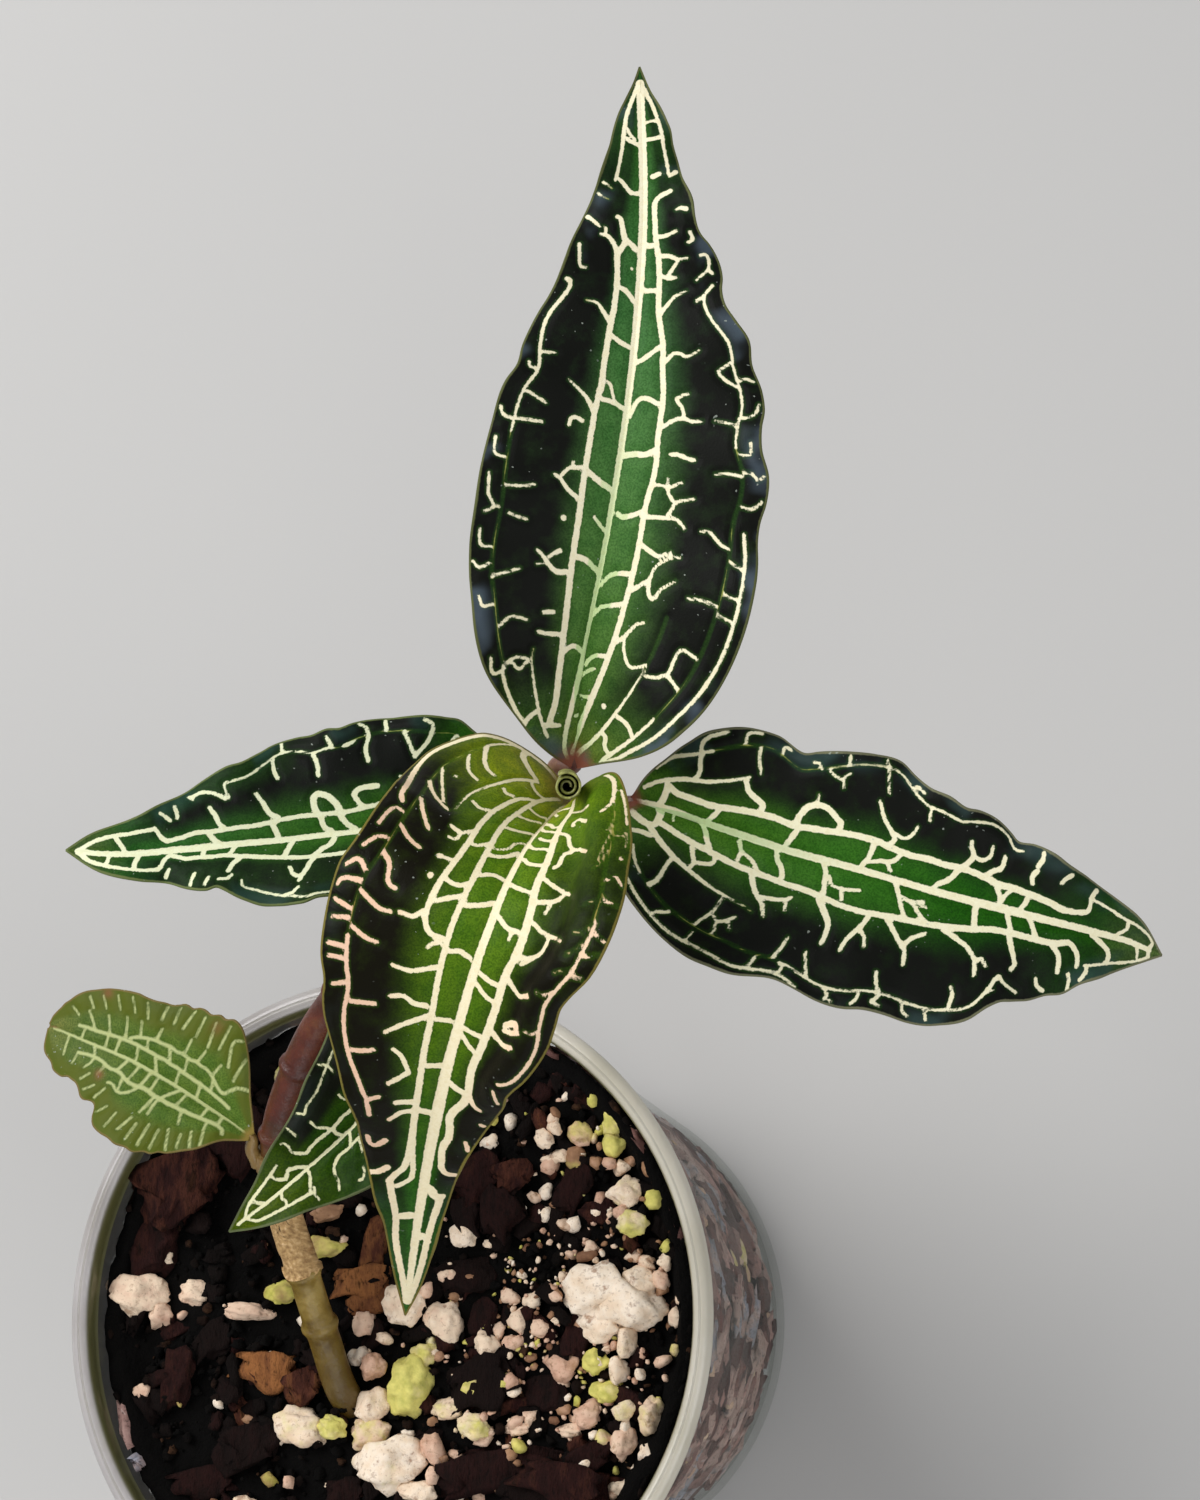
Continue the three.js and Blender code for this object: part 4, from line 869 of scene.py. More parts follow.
def vein_distance(leaf, points, strokes):
    """Millimetres from each point to the edge of the nearest vein, less than 0 on a vein, and that
    vein's width. A stroke is (width, u, v, u, v, ...), or (width at its start, width at its end, u, v,
    u, v, ...), its widths in hundredths of a millimetre, u in thousandths and v in hundredths."""
    nearest, widest = np.full(len(points), 1.5), np.full(len(points), 0.5)
    for stroke in strokes:
        widths, places = (stroke[:1] * 2, stroke[1:]) if len(stroke) % 2 else (stroke[:2], stroke[2:])
        plan = np.array(places).reshape(-1, 2) / (1000, 100)
        if len(plan) == 1:
            plan = np.vstack([plan, plan + (0.0005, 0)])
        plan = smooth_line(np.c_[plan * (1, 0.25), np.zeros(len(plan))], 0.004)[0][:, :2] * (1, 4)
        line = blade_point(leaf, np.clip(plan[:, 0], 0, 0.972), np.clip(plan[:, 1], -1, 1))
        thin = 0.50 if widths[0] > 45 else 0.53 if widths[0] > 24 else 0.36
        halves = np.linspace(*widths, len(line)) / 100 * thin
        if np.ptp(plan[:, 0]) > 0.1:
            halves *= 1 - leaf.get("fine_margin", 0) * ease((np.abs(plan[:, 1]) - 0.55) / 0.2)
        near = np.flatnonzero(((points > line.min(0) - 2) & (points < line.max(0) + 2)).all(1))
        at = points[near]
        best, wide = nearest[near], widest[near]
        for a, b, half_a, half_b in zip(line, line[1:], halves, halves[1:]):
            ab = b - a
            t = np.clip((at - a) @ ab / max(ab @ ab, 1e-9), 0, 1)
            gap = np.linalg.norm(at - a - t[:, None] * ab, axis=1) - (half_a + (half_b - half_a) * t)
            wide = np.where(gap < best, 2 * half_a, wide)
            best = np.minimum(best, gap)
        nearest[near], widest[near] = best, wide
    return nearest, widest


def flat_grid(name, columns, rows):
    """A flat grid as a new piece, with how far over and up each of its points lies, from 0 to 1."""
    bpy.ops.object.select_all(action="DESELECT")
    bpy.ops.mesh.primitive_grid_add(x_subdivisions=columns, y_subdivisions=rows, size=2)
    grid = start_piece(name)
    flat = np.zeros(len(grid.data.vertices) * 3)
    grid.data.vertices.foreach_get("co", flat)
    over, up = (flat.reshape(-1, 3).T[:2] + 1) / 2
    return grid, over, up


def grow_blade(node, leaf, strokes, green_at, tint_at=lambda u, v: 0 * u):
    """Lays a fine grid out as the blade, notes on each point how far the veins and the margin are, how
    green it is and how tinted its veins are, and gives the sheet its thickness."""
    leaf["line"], leaf["length"] = smooth_line(leaf["midrib"], 0.1)
    fineness = 0.25
    columns = int(leaf["length"] / fineness)
    rows = int((max(leaf["left"]) + max(leaf["right"])) / fineness)
    blade, u, up = flat_grid(node + "_blade", columns, rows)
    v = 1 - 2 * up
    points = blade_point(leaf, u, v)
    vein, width = vein_distance(leaf, points, strokes)
    margin = np.minimum(half_width(leaf, u, v) * (1 - np.abs(v)), leaf["length"] * (1 - u))
    scar = 0 * u
    for at_u, at_v, strength in leaf.get("scars", ()):
        scar = scar + strength * np.exp(-(((u - at_u) / 0.022) ** 2 + ((v - at_v) / 0.09) ** 2))
    blade.data.vertices.foreach_set("co", (points * mm).ravel())
    for name, values in (
        ("vein", vein), ("width", width), ("green", green_at(u, v)), ("tint", tint_at(u, v)),
        ("margin", margin), ("along", u), ("scar", scar),
    ):
        note_on(blade, name, values)
    thick = blade.vertex_groups.new(name="thick")
    levels = np.round(ease(margin / 1.2), 1)
    for level in np.unique(levels):
        thick.add(np.flatnonzero(levels == level).tolist(), float(level), "REPLACE")
    finish_with(
        blade, "SOLIDIFY", thickness=0.0006, offset=0, vertex_group="thick", thickness_vertex_group=0.35,
        material_offset=1, material_offset_rim=2,
    )
    settle(blade)
    return blade


def tinted(tree, color, by):
    """A colour with each of its parts made weaker or stronger."""
    return add_mix(tree, 1.0, color, by, "MULTIPLY")


def velvet(
    name, dark, greens, creams, margin, foot=(0.22, 0.075, 0.045), softness=1.0,
    painted_sheen=(0.055, 0.085, 0.078), painted_sheen_share=0.45,
):
    """The upper skin. dark is the outer ground, greens the middle from base to tip, creams the plain
    and the tinted vein colour, margin the thin rim, foot the colour where the stalk begins, softness
    how blurred the veins' edges are, and the last two the colour and share of a painted sheen: bluish
    light reflected off the leaf, painted inside the margin."""
    made, tree, shader, place = start_material(name)
    names = ("vein", "width", "green", "tint", "margin", "along", "scar")
    note = {key: read_note(tree, key) for key in names}
    cells = add_noise(tree, place, 5200, 2, 0.6)
    mottle = add_noise(tree, place, 420, 4, 0.6)
    fray = add_math(tree, "SUBTRACT", add_noise(tree, place, 1900, 4, 0.75), 0.5)
    broad = add_range(tree, note["width"], 0.13, 0.25)
    ragged = add_share(tree, note["vein"], fray, add_share(tree, 0.13, broad, 0.25))
    on_vein = add_range(tree, ragged, 0.050 * softness, -0.055 * softness)

    middle = add_share(tree, note["green"], add_math(tree, "SUBTRACT", mottle, 0.5), 0.30)
    middle = add_node(tree, "ShaderNodeClamp", {"Value": middle}).outputs[0]
    green = add_ramp(tree, note["along"], greens)
    for pattern, low, high, most, by in (
        (mottle, 0.60, 0.36, 0.55, (0.50, 0.72, 0.55)),
        (cells, 0.42, 0.66, 0.40, (1.7, 1.5, 1.6)),
        (cells, 0.56, 0.34, 0.55, (0.45, 0.55, 0.4)),
    ):
        green = add_mix(tree, add_range(tree, pattern, low, high, 0.0, most), green, tinted(tree, green, by))
    beside_vein = add_range(tree, ragged, 0.34, 0.02, 0.0, 0.38)
    ground = add_mix(tree, middle, dark, green)
    ground = add_mix(tree, beside_vein, ground, tinted(tree, green, (0.50, 0.62, 0.35)))

    cream = add_mix(tree, note["tint"], *creams)
    worn = add_range(tree, fray, -0.14, 0.08, 0.30, 0.0)
    cream = add_mix(tree, worn, cream, tinted(tree, cream, (0.78, 0.72, 0.50)))
    cream = add_mix(tree, broad, tinted(tree, cream, (0.34, 0.40, 0.13)), cream)
    color = add_mix(tree, on_vein, ground, cream)

    # Painted sheen: bluish reflected light painted inside the margin, away from the veins.
    painted_sheen_mask = add_range(tree, add_noise(tree, place, 150, 2), 0.48, 0.64, 0.0, painted_sheen_share)
    painted_sheen_mask = add_math(tree, "MULTIPLY", add_range(tree, note["margin"], 2.6, 0.4), painted_sheen_mask)
    painted_sheen_mask = add_math(tree, "MULTIPLY", painted_sheen_mask, add_math(tree, "SUBTRACT", 1.0, on_vein))
    color = add_mix(tree, painted_sheen_mask, color, painted_sheen)
    lip = add_range(tree, add_share(tree, note["margin"], fray, 0.20), 0.28, 0.14)
    color = add_mix(tree, lip, color, margin)
    color = add_mix(tree, note["scar"], color, (0.20, 0.085, 0.035))
    stalk_end = add_range(tree, add_share(tree, note["along"], fray, 0.03), 0.045, 0.012)
    color = add_mix(tree, stalk_end, color, foot)
    dusty = add_range(tree, add_noise(tree, place, 90, 1), 0.50, 0.62)
    grains = add_range(tree, add_noise(tree, place, 2500, 0), 0.81, 0.83, 0.0, 0.5)
    color = add_mix(tree, add_math(tree, "MULTIPLY", dusty, grains), color, (0.42, 0.46, 0.40))
    fill(shader, {
        "Base Color": color, "Roughness": 0.5, "Specular IOR Level": 0.07,
        "Sheen Weight": 0.02, "Sheen Roughness": 0.35,
    })
    pillow = add_math(tree, "MULTIPLY", add_range(tree, note["vein"], -0.05, 0.85), 0.75)
    add_bump(tree, shader, add_share(tree, pillow, cells, 0.14), 0.00016)
    return made


def underside(name, color, vein):
    """The lower skin: dull, with the main veins showing faintly."""
    made, tree, shader, place = start_material(name)
    faint = add_range(tree, read_note(tree, "vein"), 0.35, -0.15, 0.0, 0.6)
    ground = add_mix(tree, add_noise(tree, place, 500, 4), color, tuple(c * 1.7 for c in color))
    fill(shader, {"Base Color": add_mix(tree, faint, ground, vein), "Roughness": 0.6, "Sheen Weight": 0.15})
    add_bump(tree, shader, add_math(tree, "SUBTRACT", add_noise(tree, place, 3000, 2), faint), 0.00025)
    return made


wine_underside = underside("wine_underside", (0.045, 0.018, 0.022), (0.16, 0.09, 0.07))
olive_edge, tree, shader, place = start_material("olive_edge")
olive = add_mix(tree, add_noise(tree, place, 900, 2), (0.12, 0.114, 0.048), (0.26, 0.247, 0.104))
fill(shader, {"Base Color": olive, "Roughness": 0.5})


def juicy_skin(name, dark, middle, pale):
    """The smooth, slightly clear skin of a leaf's stalk, with darker and paler spots."""
    made, tree, shader, place = start_material(name)
    spots = add_ramp(tree, add_noise(tree, place, 380, 4), [(0.3, dark), (0.55, middle), (0.75, pale)])
    fill(shader, {
        "Base Color": spots, "Roughness": 0.38,
        "Subsurface Weight": 0.1, "Subsurface Radius": (0.002, 0.001, 0.0005),
    })
    add_bump(tree, shader, add_noise(tree, place, 1500, 3), 0.00012)
    return made


stalk_skin = juicy_skin("stalk_skin", (0.085, 0.030, 0.022), (0.19, 0.085, 0.055), (0.28, 0.18, 0.09))


def dress(node, leaf, blade, upper, lower=wine_underside, skin=stalk_skin):
    for material in (upper, lower, olive_edge):
        blade.data.materials.append(material)
    under_blade = blade_point(leaf, 0.06, 0.0) - (0, 0, 0.80)
    line = smooth_line([*leaf["stalk"], tuple(under_blade)], 0.4)[0]
    far = np.linspace(0, 1, len(line))
    stalk = fleshy_tube(node + "_stalk", line, 1.02 - 0.50 * far + 0.25 * np.exp(-((far / 0.12) ** 2)), 12)
    line, low, high, radius = leaf["clasp"]
    line = line[(line[:, 2] >= low) & (line[:, 2] <= high)]
    bulge = radius + 0.62 + 0.12 * np.sin(np.linspace(0, math.pi, len(line)))
    sheath = fleshy_tube(node + "_sheath", line, bulge, 16)
    stalk.data.materials.append(skin)
    sheath.data.materials.append(skin)
    for piece in (blade, stalk, sheath):
        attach(piece, "root")
        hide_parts(node)


def on_stem(low, high):
    """Where a sheath clasps the stem: the line, its heights and the stem's radius there."""
    u = share[np.abs(stem_line[:, 2] - (low + high) / 2).argmin()]
    return (stem_line, low, high, stem_radius(u))


def mostly_dark(left, right, base, tip):
    """How green each point is: the middle out to about left and right, the base, and some of the tip."""
    return lambda u, v: np.maximum.reduce([
        1 - ease((np.abs(v) - 0.10) / (np.where(v < 0, left, right) - 0.10)),
        0.9 * (1 - ease((u - base) / 0.12)),
        tip * ease((u - 0.72) / 0.16),
    ])


top_leaf = {
    "midrib": [
        (46.1, 54.7, 149), (48.9, 64.9, 154.5), (52.5, 76.4, 158.5), (55.6, 91.5, 161), (56.9, 108.4, 161),
        (55.6, 126.5, 157.5),
    ],
    "face": [(0, 0.2, -0.25, 0.95), (0.5, 0.22, -0.12, 0.97), (1, 0.24, 0.05, 0.97)],
    "fold": plain_fold,
    "left": [0.6, 3.2, 6.6, 11.5, 13.9, 14.2, 13.1, 10.6, 7.9, 5.3, 3.5, 1.7, 0.1],
    "right": [0.6, 4.2, 10.2, 14.9, 16.9, 16.1, 14.4, 11.7, 7.8, 4.9, 3.2, 1.7, 0.1],
    "left_edge": [
        (0, 0), (5, 20), (10, 43), (15, 20), (20, -34), (23.5, -33), (27, 0), (30, 0), (35, -31), (40, -10),
        (44, 0), (50, -10), (52, -49), (55, 0), (60, 5), (62, -24), (64, -39), (67, -30), (70, 0), (74, 10),
        (77, -4), (80, -17), (83, -26), (86, -18), (89, 5), (91.5, 13), (94, 0), (97, -10), (100, 0),
    ],
    "right_edge": [
        (0, 0), (10, -47), (15, -30), (20, 0), (25, 0), (30, -20), (34, -37), (36, -60), (38, -50), (40, 0),
        (43, 20), (45.5, -42), (48, -30), (50, 20), (52, 20), (55, -28), (58, 0), (60, -67), (62, -110),
        (64, -77), (66, 0), (69, 28), (70.5, 5), (72, -44), (74, -44), (76, -15), (80, -26), (83, -17),
        (86, -12), (88, 14), (90, 8), (93, -4), (95, -17), (100, 0),
    ],
    "wave": (0.9, 6.5, 0.6),
    "fine_margin": 0.15,
    "stalk": [(42.6, 53.6, 145.2), (43.6, 55.2, 146.6), (46.1, 54.7, 148.6)],
    "clasp": on_stem(144.3, 146.2),
}
top_veins = [
    # midrib, the two inner veins on each side, and the long veins inside each margin
    (50, 75, 0, -70, 30, -60, 45, -45, 70, -26, 100, -13, 140, -5, 190, -1.5, 300, -1),
    (75, 100, 300, -1, 500, -0.5, 700, 0), (100, 90, 700, 0, 850, 0, 1000, 0),
    (80, 60, 20, -25, 30, -5, 50, 8, 80, 14, 120, 18.5, 170, 21, 250, 21.5),
    (60, 55, 250, 21.5, 350, 22.5, 420, 25, 500, 26.2, 600, 25.5, 670, 24.3, 730, 24.5, 770, 24, 780, 30,
     785, 42, 787, 64), (70, 20, 10, 10, 20, 30, 40, 45, 60, 49, 100, 48.5, 150, 50, 180, 51),
    (13, 12, 180, 50.5, 250, 50.5),
    (70, 60, 80, -63, 90, -52, 100, -43, 120, -35, 150, -28, 180, -25, 220, -24, 300, -24, 380, -25,
     450, -25.5), (60, 450, -25.5, 520, -26, 580, -26.5, 630, -28, 670, -31, 700, -35),
    (70, 40, 80, -70, 75, -60, 68, -47), (50, 15, 67, -79, 90, -73, 115, -66, 140, -60, 165, -56, 175, -53),
    (50, 100, -98, 103, -85, 103, -72), (50, 30, 100, -98, 130, -93, 160, -87, 170, -83),
    (16, 14, 170, -83, 220, -82, 270, -83, 350, -81.5, 420, -83, 440, -84),
    (30, 45, 440, -84, 490, -84, 520, -82, 550, -84.5, 580, -88, 600, -88.5, 620, -86, 635, -83, 645, -85,
     646, -90), (50, 30, 45, 97, 55, 90, 80, 82, 110, 79, 140, 78.5),
    (15, 13, 140, 78.5, 200, 79.5, 270, 80, 340, 81.5, 380, 83, 430, 83, 455, 82),
    (28, 35, 455, 82, 500, 84, 530, 83.5, 560, 84, 590, 81, 610, 79, 635, 79, 640, 83, 648, 89),
    (45, 40, 45, 99, 70, 95, 85, 91, 110, 90, 180, 90.5, 250, 92.5, 300, 92.5, 340, 91.5, 363, 90.5),
    # the loop at the tip
    (35, 50, 805, -65, 840, -63, 880, -60, 920, -62, 945, -55, 965, -35, 975, 0),
    (35, 50, 815, 67, 860, 67, 900, 68, 930, 66, 955, 50, 968, 25, 975, 0),
    (45, 50, 877, -50, 872, -30, 870, -10), (30, 893, -52, 885, -40, 878, -25),
    (45, 877, 15, 876, 40, 875, 62), (30, 905, 20, 905, 45, 900, 65),
    # rungs between the midrib and the inner veins
    (50, 163, -25, 171, -15, 162, -4), (60, 50, 290, -23, 286, -14, 272, -3),
    (35, 30, 344, -13, 333, -7, 326, -2), (55, 60, 405, -25, 393, -15, 382, -3),
    (45, 500, -24, 498, -13, 492, -4), (30, 500, -12, 513, -16, 522, -19, 522, -24, 510, -24),
    (50, 588, -26, 580, -15, 575, -6), (50, 655, -28, 650, -17, 637, -6), (30, 682, -13),
    (50, 60, 722, -27, 717, -17, 710, -10), (55, 40, 793, -10, 792, -25, 797, -35, 806, -50, 810, -64),
    (35, 30, 101, -2, 102, 7, 106, 16.5), (40, 73, -10, 74, 1), (40, 30, 130, 1, 138, 6, 145, 12),
    (40, 45, 146, 3, 155, 6, 163, 11, 168, 19), (35, 50, 215, 2, 228, 6, 235, 13, 242, 20),
    (35, 50, 255, 2, 272, 7, 278, 13, 281, 20), (55, 50, 353, 5, 350, 9, 357, 17, 363, 22),
    (65, 60, 430, 2, 434, 10, 435, 17, 442, 24), (40, 50, 482, 3, 503, 7, 508, 14, 502, 22, 502, 26),
    (50, 555, 4, 563, 12, 572, 19, 578, 24), (50, 655, 3, 653, 12, 653, 23),
    (60, 55, 720, 2, 716, 12, 717, 23), (60, 817, 26, 819, 42),
    # spurs that leave the inner veins outwards, left then right
    (35, 50, 194, -48, 190, -40, 187, -28), (45, 217, -43, 216, -35),
    (60, 30, 268, -27, 268, -35, 277, -41, 288, -46, 295, -51), (25, 20, 279, -42, 277, -50),
    (30, 50, 286, -42, 291, -38, 295, -34), (60, 338, -35.5),
    (50, 30, 366, -28, 376, -36, 388, -42, 392, -47), (35, 40, 390, -42, 399, -39, 404, -35, 406, -27),
    (30, 403, -35, 412, -34.5), (35, 40, 459, -43, 466, -43, 470, -40, 467, -34),
    (50, 20, 482, -27, 500, -36, 517, -54), (50, 15, 605, -29, 617, -38, 627, -48, 627, -60),
    (55, 35, 700, -34, 713, -42, 722, -53, 722, -63), (30, 15, 723, -56, 733, -58, 735, -63),
    (55, 60, 700, -34, 715, -27, 722, -25), (60, 40, 722, -27, 735, -32, 750, -38, 753, -45),
    (60, 104, 33.5), (50, 30, 190, 22, 200, 26.5, 214, 30, 225, 33, 231, 37),
    (35, 30, 200, 28, 185, 31, 173, 37, 173, 43, 185, 50),
    (50, 25, 262, 23, 272, 28, 283, 33, 298, 35, 307, 39, 315, 45, 318, 50),
    (50, 25, 280, 33, 265, 35, 263, 39, 277, 42, 292, 50), (30, 315, 44, 321, 43),
    (50, 40, 320, 24, 315, 30, 312, 36, 318, 41), (50, 30, 355, 22, 358, 30, 360, 38, 361, 45, 352, 51),
    (40, 25, 360, 38, 372, 41, 381, 43, 386, 48, 390, 54), (35, 30, 380, 42, 390, 37, 400, 35, 409, 34.5),
    (30, 398, 25, 399, 31, 398, 36, 404, 41, 407, 44), (40, 439, 35, 440, 40, 437, 46, 436, 51),
    (45, 30, 472, 28, 482, 36, 485, 42, 482, 50, 483, 57),
    (35, 30, 485, 43, 498, 41, 508, 36, 513, 40, 516, 45),
    (45, 20, 557, 28, 567, 35, 567, 41, 563, 46, 571, 57), (50, 20, 620, 27, 633, 36, 643, 46, 648, 58),
    (40, 25, 672, 27, 670, 33, 676, 38, 685, 45, 692, 52, 692, 62), (50, 30, 668, 35, 668, 45),
    (50, 40, 700, 28, 698, 40, 692, 50), (50, 30, 727, 27, 727, 40, 729, 53, 731, 62),
    # ticks along the left margin, then the right
    (30, 166, -83, 165, -90, 167, -95, 183, -92), (30, 170, -82, 168, -75, 158, -71, 163, -60),
    (25, 30, 170, -82, 172, -70, 165, -60), (30, 235, -84, 235, -92, 246, -94),
    (30, 25, 210, -81, 217, -72, 215, -64, 210, -57), (30, 280, -85, 276, -92, 284, -97),
    (30, 25, 265, -83, 268, -72, 272, -62), (25, 30, 300, -84, 304, -92, 323, -94),
    (25, 341, -76, 336, -68, 334, -62), (30, 342, -93, 348, -87, 362, -92, 385, -93),
    (25, 348, -87, 348, -83), (30, 25, 372, -81, 373, -70, 376, -60),
    (25, 30, 405, -84, 409, -92, 430, -94), (30, 457, -63, 457, -75, 456, -86, 459, -93, 468, -96),
    (30, 25, 493, -83, 488, -73, 482, -64), (30, 522, -84, 523, -90, 528, -91),
    (35, 20, 545, -82, 548, -70), (25, 40, 668, -72, 668, -80, 680, -84, 697, -88),
    (25, 45, 733, -68, 739, -80, 744, -93), (20, 40, 776, -68, 777, -80, 780, -91),
    (20, 40, 791, -66, 794, -77, 796, -88), (55, 50, 72, 53, 71, 60, 63, 70, 62, 82),
    (50, 105, 52, 107, 65, 102, 78), (30, 36, 173, 54, 180, 61, 190, 66, 186, 78),
    (35, 30, 190, 66.5, 224, 66, 228, 78), (30, 34, 280, 60, 285, 70, 286, 79),
    (30, 354, 62, 355, 68, 345, 75, 343, 80), (25, 30, 423, 65, 426, 75, 425, 83),
    (25, 484, 66, 483, 73, 480, 81), (30, 525, 82, 532, 75, 543, 71, 550, 78, 555, 83),
    (35, 30, 632, 70, 636, 78, 648, 89), (25, 35, 660, 69, 668, 79, 672, 84, 687, 88, 693, 85, 693, 80),
    (35, 672, 84, 665, 88), (30, 40, 712, 72, 716, 83, 725, 84), (25, 50, 758, 66, 758, 76, 754, 86),
    (30, 60, 810, 68, 812, 78, 814, 85), (30, 279, 81, 280, 92), (30, 299, 81, 300, 92),
    (30, 329, 82, 327, 91), (30, 392, 85, 392, 91, 397, 95, 403, 97),
    (30, 430, 84, 430, 90, 424, 93, 430, 98), (25, 30, 448, 84, 450, 92, 462, 93),
    (30, 487, 83, 492, 93, 505, 96), (30, 531, 84, 534, 90, 531, 96),
]


def top_tint(u, v):
    """How tinted the veins are: wholly at the stalk, and the midrib fading over the first half."""
    return np.maximum(1 - ease((u - 0.01) / 0.08), (1 - ease((u - 0.22) / 0.40)) * (np.abs(v) < 0.12))


blade = grow_blade("leaf_top", top_leaf, top_veins, mostly_dark(0.46, 0.56, 0.05, 0.30), top_tint)
top_velvet = velvet(
    "top_leaf_velvet", (0.0050, 0.0056, 0.0040),
    [
        (0.0, (0.12, 0.16, 0.02)), (0.10, (0.070, 0.16, 0.026)), (0.40, (0.057, 0.157, 0.035)),
        (0.65, (0.043, 0.141, 0.035)), (0.9, (0.026, 0.11, 0.012)),
    ],
    ((0.90, 0.83, 0.60), (0.58, 0.72, 0.36)), (0.10, 0.11, 0.040),
    painted_sheen=(0.075, 0.10, 0.125), painted_sheen_share=0.75,
)
dress("leaf_top", top_leaf, blade, top_velvet)


# ---------------------------------------------------------------- right leaf
# The leaf that points right and a little down. Its veins branch more than the top leaf's, and its
# near half catches the light.
right_leaf = {
    "midrib": [
        (50.7, 51.7, 142.5), (55.5, 49.7, 144.5), (67.6, 45, 146), (78.7, 41.8, 144.5), (92.8, 37.8, 139.5),
        (103.7, 34.9, 132),
    ],
    "face": [(0, -0.15, 0.05, 0.98), (0.5, 0.05, -0.05, 1), (1, 0.3, -0.1, 0.95)],
    "fold": plain_fold,
    "left": [0.6, 2.2, 5.6, 10.1, 11.3, 11.2, 11.2, 9.3, 7.4, 6.4, 4.5, 2.7, 0.1],
    "right": [0.6, 2.6, 7.0, 11.5, 14.5, 13.1, 13.8, 13.7, 10.6, 7.2, 4.1, 1.9, 0.1],
    "left_edge": [
        (0, 0), (13, 30), (16.7, -25), (20, -10), (25, 65), (28, 50), (32.7, -75), (35, -30), (40, 50),
        (43, 80), (47, 70), (49, 0), (51.5, -50), (55, -25), (58, -25), (60, 30), (63.3, 60), (66, 20),
        (67.3, -15), (70, 25), (73, 10), (76, -30), (80, -20), (86, -10), (100, 0),
    ],
    "right_edge": [
        (0, 0), (13, 50), (20, 40), (27, -10), (30, -15), (33, 25), (37, 10), (40, 50), (43, 80), (47, 50),
        (50, -10), (53.5, -30), (57, 0), (61, 35), (65.5, 40), (68, -35), (70, -60), (72, -30), (75, 15),
        (78, 20), (80.5, 50), (83, 5), (87, 10), (100, 0),
    ],
    "wave": (1.1, 5.5, 2.2),
    "fine_margin": 0.35,
    "stalk": [(41.6, 51.0, 140.4), (45.6, 51.6, 140.2), (50.7, 51.7, 142.1)],
    "clasp": on_stem(140.6, 142.4),
}
